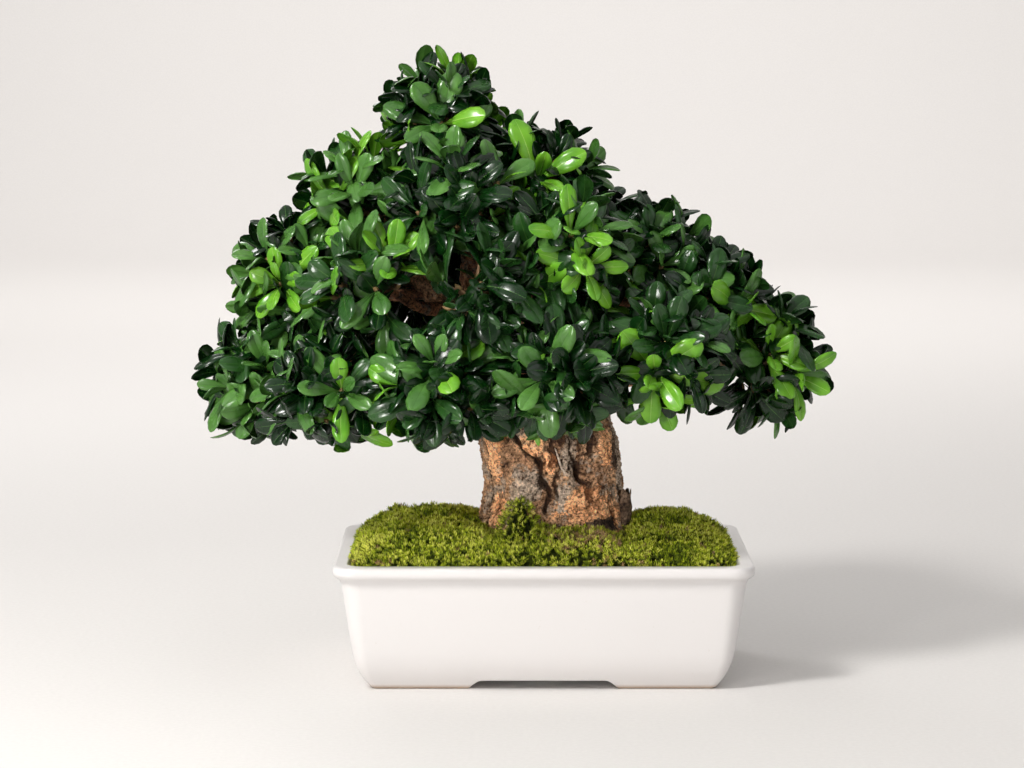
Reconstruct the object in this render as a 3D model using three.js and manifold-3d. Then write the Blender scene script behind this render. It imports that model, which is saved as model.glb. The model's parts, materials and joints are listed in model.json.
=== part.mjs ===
// A potted bonsai of Japanese pittosporum: a squat, gnarled trunk that forks into seven main boughs
// with side boughs, masses of leathery leaves in whorls, and moss round the foot, in a white glazed
// rectangular pot on four corner feet.
// Millimetres, +Z up. X runs to the right and Y away from the front of the pot.
import * as THREE from "three";
import { mergeVertices } from "three/addons/utils/BufferGeometryUtils.js";
import Module from "manifold-3d";

const wasm = await Module();
wasm.setup();

// Driving dimensions
const GAP = 0.3; // clearance between neighbouring pieces
const POT_WIDTH = 320;
const POT_DEPTH = 224;
const POT_HEIGHT = 97.5;
const WALL = 9.5;
const RIM_CORNER = 18;
const FOOT_HEIGHT = 7.2;
const FLOOR_TOP = 17;
const GROUND = 88; // top of the soil, where the trunk and the moss stand
const LEAF_LENGTH = 48;
const LEAF_WIDTH = 23;
const LEAF_THICKNESS = 1.2;

// Materials, in the colours of the photograph
const finish = (color, roughness) => new THREE.MeshStandardMaterial({ color, roughness, metalness: 0 });
const glaze = finish(0xf3f2ef, 0.22);
const soilBrown = finish(0x3a2a1f, 0.95);
const mossGreen = finish(0x5c8a1c, 0.9);
const bark = finish(0x8a5a3c, 0.9);
const leafGreen = finish(0x1f4d22, 0.3);

// Solids from rings, and back to meshes

// A closed skin over rings of equal length. Each ring runs anticlockwise seen from the end it heads for.
function loft(rings) {
  const sides = rings[0].length;
  const last = (rings.length - 1) * sides;
  const position = rings.flat().flatMap((point) => [point.x, point.y, point.z]);
  const index = [];
  for (let ring = 0; ring < last; ring += sides)
    for (let side = 0; side < sides; side++) {
      const next = (side + 1) % sides;
      index.push(ring + side, ring + next, ring + sides + next);
      index.push(ring + side, ring + sides + next, ring + sides + side);
    }
  const centres = [rings[0], rings[rings.length - 1]].map((ring) =>
    ring.reduce((sum, point) => sum.add(point), new THREE.Vector3()).divideScalar(sides),
  );
  centres.forEach((centre) => position.push(centre.x, centre.y, centre.z));
  for (let side = 0; side < sides; side++) {
    const next = (side + 1) % sides;
    index.push(rings.length * sides, next, side);
    index.push(rings.length * sides + 1, last + side, last + next);
  }
  return solidOf(position, index);
}

function solidOf(position, index) {
  const vertProperties = new Float32Array(position);
  const triVerts = new Uint32Array(index);
  return new wasm.Manifold(new wasm.Mesh({ numProp: 3, vertProperties, triVerts }));
}

// The largest body of a solid once its corners are welded, which leaves out scraps and sealed hollows.
function largestBody(solid) {
  const { vertProperties, triVerts } = solid.getMesh();
  const skin = new THREE.BufferGeometry();
  skin.setAttribute("position", new THREE.BufferAttribute(vertProperties, 3));
  skin.setIndex(new THREE.BufferAttribute(triVerts, 1));
  const welded = mergeVertices(skin);
  const position = [...welded.getAttribute("position").array];
  const bodies = solidOf(position, [...welded.getIndex().array]).decompose();
  return bodies.reduce((best, body) => (body.volume() > best.volume() ? body : best));
}

function meshOf(name, solid, material) {
  const { vertProperties, triVerts } = solid.getMesh();
  const geometry = new THREE.BufferGeometry();
  geometry.setAttribute("position", new THREE.BufferAttribute(vertProperties, 3));
  geometry.setIndex(new THREE.BufferAttribute(triVerts, 1));
  const faceted = geometry.toNonIndexed();
  faceted.computeVertexNormals();
  const mesh = new THREE.Mesh(faceted, material);
  mesh.name = name;
  return mesh;
}

const vector = (x, y, z) => new THREE.Vector3(x, y, z);
const mix = THREE.MathUtils.lerp;

// A value read from rows of [height, ...values], in a straight line between rows.
function readRows(rows, height) {
  const above = Math.min(Math.max(rows.findIndex((row) => row[0] >= height), 1), rows.length - 1);
  const [low, high] = [rows[above - 1], rows[above]];
  const share = THREE.MathUtils.clamp((height - low[0]) / (high[0] - low[0]), 0, 1);
  return low.map((value, column) => mix(value, high[column], share));
}

// Pot: a rectangle with round corners, a flared rim band, a belly that draws in, and corner feet

// Height, and how far the outer wall lies inside the rim's edge.
const POT_PROFILE = [
  [0, 28.5], [5, 24.5], [12, 20], [20, 16.6], [30, 14], [50, 11], [74, 7.6], [84, 6],
  [88, 3.2], [90.5, 0.6], [94.5, 0], [96.7, 0.8], [POT_HEIGHT, 2.6],
];
const RIM_TOP_WIDTH = 7.5;
const CORNER_STEPS = 2;

// One level section of the pot, set in from the rim's edge.
function potSection(inset, height) {
  const radius = Math.max(RIM_CORNER - inset * 0.45, 3);
  const halfWidth = POT_WIDTH / 2 - inset - radius;
  const halfDepth = POT_DEPTH / 2 - inset - radius;
  const corners = [[1, 1], [-1, 1], [-1, -1], [1, -1]];
  return corners.flatMap(([right, back], corner) =>
    Array.from({ length: CORNER_STEPS + 1 }, (_, step) => {
      const angle = (corner + step / CORNER_STEPS) * (Math.PI / 2);
      const x = right * halfWidth + radius * Math.cos(angle);
      const y = back * halfDepth + radius * Math.sin(angle);
      return vector(x, y, height);
    }),
  );
}

const outerInset = (height) => readRows(POT_PROFILE, height)[1];
const innerInset = (height) => outerInset(Math.min(height, 84)) + WALL;
const INNER_HEIGHTS = [GROUND, 60, 34, FLOOR_TOP];

function makePot() {
  const outside = POT_PROFILE.map(([height, inset]) => potSection(inset, height));
  const rimInside = potSection(outerInset(POT_HEIGHT) + RIM_TOP_WIDTH, POT_HEIGHT);
  const inside = INNER_HEIGHTS.map((height) => potSection(innerInset(height), height));
  let pot = loft([...outside, rimInside, ...inside]);
  // The arched openings between the feet run right through, front to back and side to side.
  const openings = [
    { foot: 56.5, top: 48, length: POT_DEPTH, turn: 0 },
    { foot: 36, top: 28, length: POT_WIDTH, turn: Math.PI / 2 },
  ];
  for (const { foot, top, length, turn } of openings) {
    const arch = [[-foot - 1.2, -1], [foot + 1.2, -1], [top, FOOT_HEIGHT], [-top, FOOT_HEIGHT]];
    const section = (y) =>
      arch.map(([x, z]) => vector(x, y, z).applyAxisAngle(vector(0, 0, 1), turn));
    pot = pot.subtract(loft([section(length), section(-length)]));
  }
  return largestBody(pot);
}

// Soil: fills the pot to a level top just under the rim
function makeSoil() {
  const heights = [FLOOR_TOP + GAP, 34, 60, GROUND];
  return loft(heights.map((height) => potSection(innerInset(height) + GAP * 1.5, height)));
}

// Trunk: squat and broad, leaning left above, from a flat cut on the soil up to its fork

// Height, centre x, centre y, half width, half depth.
const TRUNK_ROWS = [
  [GROUND + GAP, 8, 0, 65, 56], [104, 8, 0, 60, 51], [122, 7.5, 0, 56, 47], [150, 8.5, 0, 53, 44],
  [182, 4.5, -1, 54, 45], [206, -2, -2, 51.5, 43], [228, -15, -3, 43, 37], [248, -30, -4, 33, 30],
  [266, -45, -6, 24, 23], [284, -60, -8, 17, 17],
];
// Lumps and hollows on the trunk: angle in degrees with the front at -90, height, spread in
// degrees, spread in height, and how far each stands out.
const TRUNK_LUMPS = [
  { angle: -58, height: 112, wide: 24, tall: 20, rise: 10 }, // right front foot
  { angle: -140, height: 104, wide: 20, tall: 18, rise: 7 }, // left front foot
  { angle: -12, height: 100, wide: 22, tall: 16, rise: 6 }, // right foot
  { angle: 70, height: 104, wide: 26, tall: 22, rise: 8 }, // back foot
  { angle: 160, height: 102, wide: 20, tall: 18, rise: 5 }, // left foot
  { angle: -110, height: 147, wide: 17, tall: 17, rise: 8 }, // grey burl
  { angle: -46, height: 188, wide: 22, tall: 22, rise: 5 }, // right shoulder
  { angle: -68, height: 153, wide: 9, tall: 12, rise: -7 }, // pit
  { angle: -88, height: 132, wide: 10, tall: 18, rise: -7 }, // fold beside the burl
  { angle: 35, height: 165, wide: 26, tall: 30, rise: 5 }, // back shoulder
  { angle: 110, height: 140, wide: 14, tall: 34, rise: -6 }, // fold at the back
];
// Creases that run across the bark, from one angle and height to another.
const TRUNK_CREASES = [
  { from: [-150, 204], to: [-98, 152], wide: 8, depth: 8 },
  { from: [-68, 200], to: [-66, 160], wide: 7, depth: 5 },
  { from: [20, 205], to: [52, 120], wide: 8, depth: 6 },
  { from: [150, 200], to: [128, 118], wide: 8, depth: 6 },
];
const TRUNK_SIDES = 21;
const TRUNK_STEPS = 12;

const turnBetween = (a, b) => ((((a - b) % 360) + 540) % 360) - 180;

function trunkRelief(angle, height) {
  let relief = 0;
  for (const lump of TRUNK_LUMPS) {
    const across = turnBetween(angle, lump.angle) / lump.wide;
    const along = (height - lump.height) / lump.tall;
    relief += lump.rise * Math.exp(-(across * across) - along * along);
  }
  for (const { from, to, wide, depth } of TRUNK_CREASES) {
    const run = to[1] - from[1];
    const share = THREE.MathUtils.clamp((height - from[1]) / run, 0, 1);
    const across = turnBetween(angle, mix(from[0], to[0], share)) / wide;
    const beyond = (height - mix(from[1], to[1], share)) / wide;
    relief -= depth * Math.exp(-(across * across) - beyond * beyond);
  }
  return relief;
}

function trunkPoint(angle, height) {
  const [, x, y, halfWidth, halfDepth] = readRows(TRUNK_ROWS, height);
  const turn = THREE.MathUtils.degToRad(angle);
  const fade = THREE.MathUtils.clamp(halfWidth / 50, 0.2, 1);
  const relief = trunkRelief(angle, height) * fade;
  const right = (halfWidth + relief) * Math.cos(turn);
  return vector(x + right, y + (halfDepth + relief) * Math.sin(turn), height);
}

const TRUNK_FOOT = TRUNK_ROWS[0][0];
const TRUNK_TOP = TRUNK_ROWS[TRUNK_ROWS.length - 1][0];
const trunkHeights = Array.from({ length: TRUNK_STEPS + 1 }, (_, step) =>
  mix(TRUNK_FOOT, TRUNK_TOP, step / TRUNK_STEPS),
);

// The trunk, or with grow above 0 a thicker copy that cuts its neighbours clear of it.
function makeTrunk(grow) {
  const rings = trunkHeights.map((height) =>
    Array.from({ length: TRUNK_SIDES }, (_, side) => {
      const point = trunkPoint((side * 360) / TRUNK_SIDES, height);
      const [, x, y] = readRows(TRUNK_ROWS, height);
      const out = vector(point.x - x, point.y - y, 0).setLength(grow);
      return point.add(out);
    }),
  );
  rings[0].forEach((point) => (point.z -= grow * 2));
  rings[rings.length - 1].forEach((point) => (point.z += grow));
  const stub = limbSolid(STUB_PATH, STUB_RADII.map((radius) => radius + grow), STUB_SIDES);
  return largestBody(loft(rings).add(stub));
}

// A cut root stands as a dark stub at the right of the foot.
const STUB_PATH = [vector(54, -14, 104), vector(63, -15, 122), vector(64, -15, 140)];
const STUB_RADII = [8, 6, 4.5];
const STUB_SIDES = 7;

// Limbs: one tapering solid along a curve

// The frame across a path at one point: two directions square to the way it runs.
function across(direction) {
  const side = Math.abs(direction.z) < 0.9 ? vector(0, 0, 1) : vector(1, 0, 0);
  const first = side.cross(direction).normalize();
  return [first, direction.clone().cross(first)];
}

function limbSolid(path, radii, sides, startTurn = 0) {
  let [first] = across(path[1].clone().sub(path[0]).normalize());
  const rings = path.map((centre, step) => {
    const before = path[Math.max(step - 1, 0)];
    const after = path[Math.min(step + 1, path.length - 1)];
    const along = after.clone().sub(before).normalize();
    first = first.clone().addScaledVector(along, -first.dot(along)).normalize();
    const second = along.clone().cross(first);
    return Array.from({ length: sides }, (_, side) => {
      const turn = startTurn + (side * 2 * Math.PI) / sides;
      return centre
        .clone()
        .addScaledVector(first, radii[step] * Math.cos(turn))
        .addScaledVector(second, radii[step] * Math.sin(turn));
    });
  });
  return loft(rings);
}

const CROWN_CORE = vector(-20, 0, 245); // what the masses face away from
const SEED = 1; // the first mass's seed, and each after it takes the next

// Masses of foliage: each fills a rounded space of its own, at the tip of the bough named for it.
// Centre and half sizes, and the bough: what it leaves, how far along, its start and tip radius,
// and how far it bows on the way.
const MASSES = [
  { name: "far_left", centre: [-218, 0, 226], size: [54, 62, 60],
    from: "trunk", at: 0.78, radii: [14, 4.5], bow: [0, 6, 14] },
  { name: "far_right", centre: [172, 6, 244], size: [54, 58, 57],
    from: "trunk", at: 0.7, radii: [14, 4.5], bow: [0, -4, -6] },
  { name: "apex", centre: [-80, 0, 430], size: [48, 54, 52],
    from: "trunk", at: 0.97, radii: [11, 4], bow: [8, 6, 0] },
  { name: "upper_left", centre: [-140, 0, 366], size: [54, 56, 54],
    from: "trunk", at: 0.9, radii: [10, 4], bow: [-6, -8, -8] },
  { name: "right_upper", centre: [80, -2, 324], size: [60, 58, 50],
    from: "trunk", at: 0.86, radii: [11, 4.5], bow: [4, 0, 10] },
  { name: "front_low", centre: [-78, -116, 232], size: [60, 54, 56],
    from: "trunk", at: 0.76, radii: [10, 4], bow: [6, 0, -10] },
  { name: "back_low", centre: [-52, 122, 248], size: [64, 54, 52],
    from: "trunk", at: 0.8, radii: [10, 4], bow: [0, 0, 10] },
  { name: "left_front_low", centre: [-162, -82, 226], size: [60, 58, 50],
    from: "far_left", at: 0.34, radii: [7, 3.5], bow: [0, -6, 6] },
  { name: "left_back_low", centre: [-156, 92, 228], size: [62, 58, 52],
    from: "far_left", at: 0.4, radii: [7, 3.5], bow: [0, 6, 8] },
  { name: "left_mid", centre: [-191, -6, 308], size: [56, 60, 60],
    from: "upper_left", at: 0.5, radii: [5.5, 3], bow: [0, 0, -6] },
  { name: "front_left", centre: [-128, -88, 304], size: [58, 52, 54],
    from: "upper_left", at: 0.36, radii: [6, 3.2], bow: [4, 0, -6] },
  { name: "back_left", centre: [-134, 88, 314], size: [62, 56, 54],
    from: "upper_left", at: 0.44, radii: [6, 3.2], bow: [6, 0, -6] },
  { name: "front_upper", centre: [-64, -68, 364], size: [62, 54, 60],
    from: "apex", at: 0.22, radii: [6, 3.2], bow: [4, 4, -4] },
  { name: "top_right", centre: [-4, -4, 382], size: [60, 56, 53],
    from: "apex", at: 0.34, radii: [6, 3.2], bow: [4, 0, -10] },
  { name: "top_back", centre: [-58, 72, 382], size: [60, 54, 54],
    from: "apex", at: 0.46, radii: [5.5, 3.2], bow: [0, 4, -6] },
  { name: "centre_right", centre: [14, -84, 330], size: [60, 54, 58],
    from: "right_upper", at: 0.38, radii: [6, 3.2], bow: [-4, 4, 4] },
  { name: "back_right", centre: [36, 86, 326], size: [66, 56, 54],
    from: "right_upper", at: 0.46, radii: [6, 3.2], bow: [-4, 0, 6] },
  { name: "front_centre", centre: [-50, -112, 304], size: [56, 50, 54],
    from: "front_low", at: 0.4, radii: [6, 3.2], bow: [4, 0, 4] },
  { name: "front_right_low", centre: [8, -116, 244], size: [58, 52, 52],
    from: "front_low", at: 0.26, radii: [6, 3.2], bow: [4, 0, 0] },
  { name: "right_front_low", centre: [90, -80, 256], size: [60, 56, 50],
    from: "far_right", at: 0.4, radii: [6.5, 3.4], bow: [0, 4, -6] },
  { name: "right_mid", centre: [125, -8, 292], size: [54, 56, 50],
    from: "right_upper", at: 0.62, radii: [5, 3], bow: [4, 0, -6] },
  { name: "right_back_low", centre: [108, 86, 262], size: [62, 58, 52],
    from: "far_right", at: 0.46, radii: [6, 3.2], bow: [-4, 0, -4] },
  { name: "back_right_low", centre: [30, 122, 256], size: [60, 54, 50],
    from: "back_low", at: 0.3, radii: [6, 3.2], bow: [0, 6, 0] },
].map((mass, order) => ({
  ...mass,
  seed: order + SEED,
  centre: vector(...mass.centre),
  size: vector(...mass.size),
  reach: (mass.size[0] + mass.size[1] + mass.size[2]) / 3,
  outward: vector(...mass.centre).sub(CROWN_CORE).normalize(),
}));

const BOUGH_STEPS = 4;
const BOUGH_END = 0.6; // the bough stops this share of the mass's half size short of its centre

const trunkLine = new THREE.CatmullRomCurve3(TRUNK_ROWS.map(([height, x, y]) => vector(x, y, height)));

// The curve of each bough, laid out in order, so that a side bough finds the one it leaves.
const boughLines = new Map([["trunk", trunkLine]]);
for (const mass of MASSES) {
  const start = boughLines.get(mass.from).getPointAt(mass.at);
  const inward = start.clone().sub(mass.centre).normalize().multiply(mass.size);
  const end = mass.centre.clone().addScaledVector(inward, BOUGH_END);
  const middle = start.clone().lerp(end, 0.5).add(vector(...mass.bow).multiplyScalar(2));
  boughLines.set(mass.name, new THREE.QuadraticBezierCurve3(start, middle, end));
}

// Every limb as short stretches with the larger radius of each, for telling what comes too near one.
const limbStretches = [];
for (const mass of MASSES) {
  const points = boughLines.get(mass.name).getSpacedPoints(BOUGH_STEPS);
  const radii = points.map((_, step) => mix(mass.radii[0], mass.radii[1], step / BOUGH_STEPS));
  mass.path = points;
  mass.pathRadii = radii;
  for (let step = 0; step < BOUGH_STEPS; step++)
    limbStretches.push({
      line: new THREE.Line3(points[step], points[step + 1]),
      radius: Math.max(radii[step], radii[step + 1]),
    });
}

function makeBough(mass, earlier) {
  let bough = limbSolid(mass.path, mass.pathRadii, mass.from === "trunk" ? 7 : 5);
  earlier.forEach((cutter) => (bough = bough.subtract(cutter)));
  return largestBody(bough);
}

const growBough = (mass) =>
  limbSolid(
    mass.path,
    mass.pathRadii.map((radius) => radius + GAP * 1.6),
    mass.from === "trunk" ? 7 : 5,
  );

// Foliage rule

// Seeded numbers from 0 to 1, the same on every run.
function seeded(seed) {
  let state = (seed * 2654435761) >>> 0;
  return () => {
    state = (state + 0x6d2b79f5) >>> 0;
    let mixed = Math.imul(state ^ (state >>> 15), 1 | state);
    mixed = (mixed + Math.imul(mixed ^ (mixed >>> 7), 61 | mixed)) ^ mixed;
    return ((mixed ^ (mixed >>> 14)) >>> 0) / 4294967296;
  };
}

const GOLDEN_TURN = Math.PI * (3 - Math.sqrt(5));

// Whether a point keeps to the mass's rounded space and to its side of the border with each neighbour.
function inOwnSpace(mass, point, margin) {
  const offset = point.clone().sub(mass.centre);
  if (offset.clone().divide(mass.size).length() > LEAF_REACH) return false;
  return MASSES.every((other) => {
    if (other === mass) return true;
    const way = other.centre.clone().sub(mass.centre);
    const apart = way.length();
    const border = (apart * apart + mass.reach ** 2 - other.reach ** 2) / (2 * apart);
    return offset.dot(way) / apart < border - margin;
  });
}

const nearest = vector(0, 0, 0);

function clearOfLimbs(point, margin) {
  const [, x, y, halfWidth, halfDepth] = readRows(TRUNK_ROWS, point.z);
  const inTrunk = Math.hypot((point.x - x) / (halfWidth + 12), (point.y - y) / (halfDepth + 12)) < 1;
  if (point.z < TRUNK_TOP + margin && inTrunk) return false;
  return limbStretches.every(({ line, radius }) => {
    line.closestPointToPoint(point, true, nearest);
    return nearest.distanceTo(point) > radius + margin;
  });
}

// A leaf from its root in the twig: it widens to two shoulders past its middle, with a rib that is
// thickest near the twig and a drooping tip.
function leafPoints(root, along, up, length) {
  const side = up.clone().cross(along);
  const at = (forward, sideways, rise) =>
    root
      .clone()
      .addScaledVector(along, forward * length)
      .addScaledVector(side, sideways * LEAF_WIDTH)
      .addScaledVector(up, rise);
  const shoulders = [at(0.66, -0.5, -1), at(0.66, 0.5, -1)];
  return [root, ...shoulders, at(0.5, 0, LEAF_THICKNESS), at(1, 0, -3)];
}

const LEAF_FACES = [[0, 1, 3], [1, 4, 3], [4, 2, 3], [2, 0, 3], [0, 2, 1], [1, 2, 4]].flat();

function leafSolid(points) {
  return solidOf(points.flatMap((point) => [point.x, point.y, point.z]), LEAF_FACES);
}

const BUD_REACH = 0.6; // how far out in the mass its buds sit, as a share of its half size
const LEAF_REACH = 1.07; // how far out its leaves may reach
const SPOTS = 7; // places spread evenly over each mass, of which the outward ones bear a whorl
const LOWEST_LEVEL = -0.5; // how far round the back of the mass a spot may lie
const WHORL = 6; // leaves in a whorl
const LEAF_TRIES = [1, 0.86, 0.72]; // a leaf that does not fit is tried shorter
const INWARD_LIMIT = -0.75; // leaves that would point back into the crown are left off
const TWIG_RADII = [2, 3.4]; // where a twig forks and where it ends in its whorl
const LIMB_MARGIN = 2.5;
const BORDER_MARGIN = 0.4;

// The stem that a mass grows from: it starts just clear of the bough's tip and ends past the middle.
function stemPath(mass) {
  const entry = mass.path[BOUGH_STEPS];
  const heading = entry.clone().sub(mass.path[BOUGH_STEPS - 1]).normalize();
  const start = entry.clone().addScaledVector(heading, GAP);
  const hub = mass.centre.clone().addScaledVector(mass.outward, 7);
  const knee = start.clone().addScaledVector(heading, start.distanceTo(hub) * 0.5);
  return [start, knee, hub];
}

const CORE_REACH = 0.56; // how far out the leafless heart of a mass stands

// The dense heart of a mass, which its twigs and leaves stand out of: twenty flat faces, with each
// corner drawn in until it is inside the mass's own space and off the limbs.
function coreSolid(mass, cutters) {
  const shape = new THREE.IcosahedronGeometry(1, 0);
  shape.deleteAttribute("uv");
  shape.deleteAttribute("normal");
  const merged = mergeVertices(shape);
  const corners = merged.getAttribute("position");
  const heart = mass.centre.clone().addScaledVector(mass.outward, 3);
  const position = [];
  for (let corner = 0; corner < corners.count; corner++) {
    const way = vector(0, 0, 0).fromBufferAttribute(corners, corner).multiply(mass.size);
    const point = vector(0, 0, 0);
    let reach = CORE_REACH;
    do {
      point.copy(heart).addScaledVector(way, reach);
      reach *= 0.93;
    } while (reach > 0.1 && !(inOwnSpace(mass, point, 2.5) && clearOfLimbs(point, 3)));
    position.push(point.x, point.y, point.z);
  }
  const core = solidOf(position, [...merged.getIndex().array]);
  return cutters.reduce((solid, cutter) => solid.subtract(cutter), core);
}

// The point a share of the way along a stem of two legs.
function alongStem([start, knee, hub], share) {
  return share < 0.5 ? start.clone().lerp(knee, share * 2) : knee.clone().lerp(hub, share * 2 - 1);
}

// Twigs wind round the mass from its outward pole, a golden turn apart, and fork from the stem in
// the same order from its end.
function twigsOf(mass, stem, random) {
  const [first, second] = across(mass.outward);
  const twigs = [];
  for (let spot = 0; spot < SPOTS; spot++) {
    const level = 1 - ((spot + 0.35) * 2) / SPOTS;
    const turn = spot * GOLDEN_TURN + mass.seed;
    const round = Math.sqrt(1 - level * level);
    const way = mass.outward
      .clone()
      .multiplyScalar(level)
      .addScaledVector(first, round * Math.cos(turn))
      .addScaledVector(second, round * Math.sin(turn));
    const reach = BUD_REACH * (0.92 + 0.16 * random());
    const tip = mass.centre.clone().addScaledVector(way.clone().multiply(mass.size), reach);
    const fork = alongStem(stem, 0.97 - (0.72 * spot) / SPOTS);
    const startTurn = random() * 2 * Math.PI;
    const clear = [0.35, 0.6, 0.8, 1].every((share) => {
      const point = fork.clone().lerp(tip, share);
      return inOwnSpace(mass, point, 4) && clearOfLimbs(point, LIMB_MARGIN + 1);
    });
    if (level < LOWEST_LEVEL || !clear) continue;
    const axis = tip.clone().sub(fork).normalize();
    const wood = limbSolid([fork, tip], TWIG_RADII, 3, startTurn);
    twigs.push({ tip, axis, startTurn, wood, leaves: [] });
  }
  return twigs;
}

// One leaf of a twig's whorl, or nothing where no length of it fits beside what has grown.
function growLeaf(mass, twig, order, others, random) {
  const { tip, axis, startTurn } = twig;
  const [first, second] = across(axis);
  const azimuth = startTurn + ((order + 0.5) * 2 * Math.PI) / WHORL;
  const open = THREE.MathUtils.degToRad((order % 2 ? 76 : 52) + 12 * (random() - 0.5));
  const length = LEAF_LENGTH * (0.86 + 0.2 * random());
  const radial = first.multiplyScalar(Math.cos(azimuth)).addScaledVector(second, Math.sin(azimuth));
  const along = axis.clone().multiplyScalar(Math.cos(open)).addScaledVector(radial, Math.sin(open));
  const up = axis.clone().multiplyScalar(Math.sin(open)).addScaledVector(radial, -Math.cos(open));
  const root = tip.clone().addScaledVector(axis, order % 2 ? -6 : -4.6).addScaledVector(radial, -1.2);
  const fits = (point) => inOwnSpace(mass, point, BORDER_MARGIN) && clearOfLimbs(point, LIMB_MARGIN);
  if (along.dot(mass.outward) < INWARD_LIMIT) return undefined;
  return LEAF_TRIES.map((share) => leafPoints(root, along, up, length * share))
    .filter((points) => points.every(fits))
    .map(leafSolid)
    .find((leaf) => others.every((other) => leaf.intersect(other).isEmpty()));
}

function growMass(mass) {
  const random = seeded(mass.seed);
  const stem = stemPath(mass);
  const stemRadii = [mass.radii[1], mix(mass.radii[1], 2.6, 0.5), 2.6];
  const twigs = twigsOf(mass, stem, random);
  for (let order = 0; order < WHORL; order++)
    for (const twig of twigs) {
      const others = twigs.filter((other) => other !== twig);
      const grown = others.flatMap((other) => [other.wood, ...other.leaves]);
      const leaf = growLeaf(mass, twig, order, grown, random);
      if (leaf) twig.leaves.push(leaf);
    }
  const bearing = twigs.filter((twig) => twig.leaves.length);
  const heart = limbSolid(stem, stemRadii, 5).add(coreSolid(mass, limbCutters));
  const pieces = [heart, ...bearing.map((twig) => twig.wood), ...bearing.flatMap((twig) => twig.leaves)];
  return largestBody(pieces.reduce((whole, piece) => whole.add(piece)));
}

// Moss: four cushions on the soil, each a rounded dome cut clear of the trunk and its neighbours

const CUSHIONS = [
  { name: "left", centre: [-84, 2], half: [64.5, 100], crest: 38.5 },
  { name: "right", centre: [98, 4], half: [50.5, 99], crest: 35 },
  { name: "front", centre: [8, -56], half: [86, 44], crest: 31 },
  { name: "back", centre: [8, 56], half: [86, 44], crest: 36 },
];
const CUSHION_SIDES = 16;
const CUSHION_LEVELS = [0, 0.55, 0.86, 0.98];
const CUSHION_CORNER = 4.5; // how square the cushions are in plan

function cushionSolid({ centre, half, crest }, grow) {
  const foot = GROUND + GAP - grow * 2;
  const rings = CUSHION_LEVELS.map((level) =>
    Array.from({ length: CUSHION_SIDES }, (_, side) => {
      const turn = (side * 2 * Math.PI) / CUSHION_SIDES;
      const [cos, sin] = [Math.cos(turn), Math.sin(turn)];
      const power = CUSHION_CORNER;
      const square = (Math.abs(cos) ** power + Math.abs(sin) ** power) ** (-1 / power);
      const width = (1 - level ** 2.6) ** (1 / 2.6) * square;
      const x = centre[0] + (half[0] + grow) * width * cos;
      const y = centre[1] + (half[1] + grow) * width * sin;
      return vector(x, y, level === 0 ? foot : GROUND + crest * level + grow);
    }),
  );
  return loft(rings);
}

function makeMoss(trunkCutter) {
  // The pot's mouth, as a block that keeps the moss clear of the rim.
  const mouthInset = innerInset(GROUND) + GAP * 1.5;
  const mouth = loft([potSection(mouthInset, GROUND), potSection(mouthInset, GROUND + 60)]);
  const cutters = [trunkCutter];
  return CUSHIONS.map((cushion) => {
    let solid = cushionSolid(cushion, 0).intersect(mouth);
    cutters.forEach((cutter) => (solid = solid.subtract(cutter)));
    cutters.push(cushionSolid(cushion, GAP));
    return meshOf(`moss_${cushion.name}`, largestBody(solid), mossGreen);
  });
}

// Assembly

const tree = new THREE.Group();
const trunkCutter = makeTrunk(GAP * 1.5);
tree.add(meshOf("pot", makePot(), glaze));
tree.add(meshOf("soil", makeSoil(), soilBrown));
tree.add(...makeMoss(trunkCutter));
tree.add(meshOf("trunk", makeTrunk(0), bark));

const limbCutters = [trunkCutter];
for (const mass of MASSES) {
  tree.add(meshOf(`bough_${mass.name}`, makeBough(mass, limbCutters), bark));
  limbCutters.push(growBough(mass));
}
for (const mass of MASSES) tree.add(meshOf(`foliage_${mass.name}`, growMass(mass), leafGreen));

// The origin is the middle of the whole plant's footprint box, on the surface that the pot stands on.
const box = new THREE.Box3().setFromObject(tree);
const middle = box.getCenter(vector(0, 0, 0));
tree.position.set(-middle.x, -middle.y, 0);
const bonsai = new THREE.Group();
bonsai.add(tree);

export default bonsai;
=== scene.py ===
import json
import math

import bmesh
import bpy
import numpy as np
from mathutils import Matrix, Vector, noise

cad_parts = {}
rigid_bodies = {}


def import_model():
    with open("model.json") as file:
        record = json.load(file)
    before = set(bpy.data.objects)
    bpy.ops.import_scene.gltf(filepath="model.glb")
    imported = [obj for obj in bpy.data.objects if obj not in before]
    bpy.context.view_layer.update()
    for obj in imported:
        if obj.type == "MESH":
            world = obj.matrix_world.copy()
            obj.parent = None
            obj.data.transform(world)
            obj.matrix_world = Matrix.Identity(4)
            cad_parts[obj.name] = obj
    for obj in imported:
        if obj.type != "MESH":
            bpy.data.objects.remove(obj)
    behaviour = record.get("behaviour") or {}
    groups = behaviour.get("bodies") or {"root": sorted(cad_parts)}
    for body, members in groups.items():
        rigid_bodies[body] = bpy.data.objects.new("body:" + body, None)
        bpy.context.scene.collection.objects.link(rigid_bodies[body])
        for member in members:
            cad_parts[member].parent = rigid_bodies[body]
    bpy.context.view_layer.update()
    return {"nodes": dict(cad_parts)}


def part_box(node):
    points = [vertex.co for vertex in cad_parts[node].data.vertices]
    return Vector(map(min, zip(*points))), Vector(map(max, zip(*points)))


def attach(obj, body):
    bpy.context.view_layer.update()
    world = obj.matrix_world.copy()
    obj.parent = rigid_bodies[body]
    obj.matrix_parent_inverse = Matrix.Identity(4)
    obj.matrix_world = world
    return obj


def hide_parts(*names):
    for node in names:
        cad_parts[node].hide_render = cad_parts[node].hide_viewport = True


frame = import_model()

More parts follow.
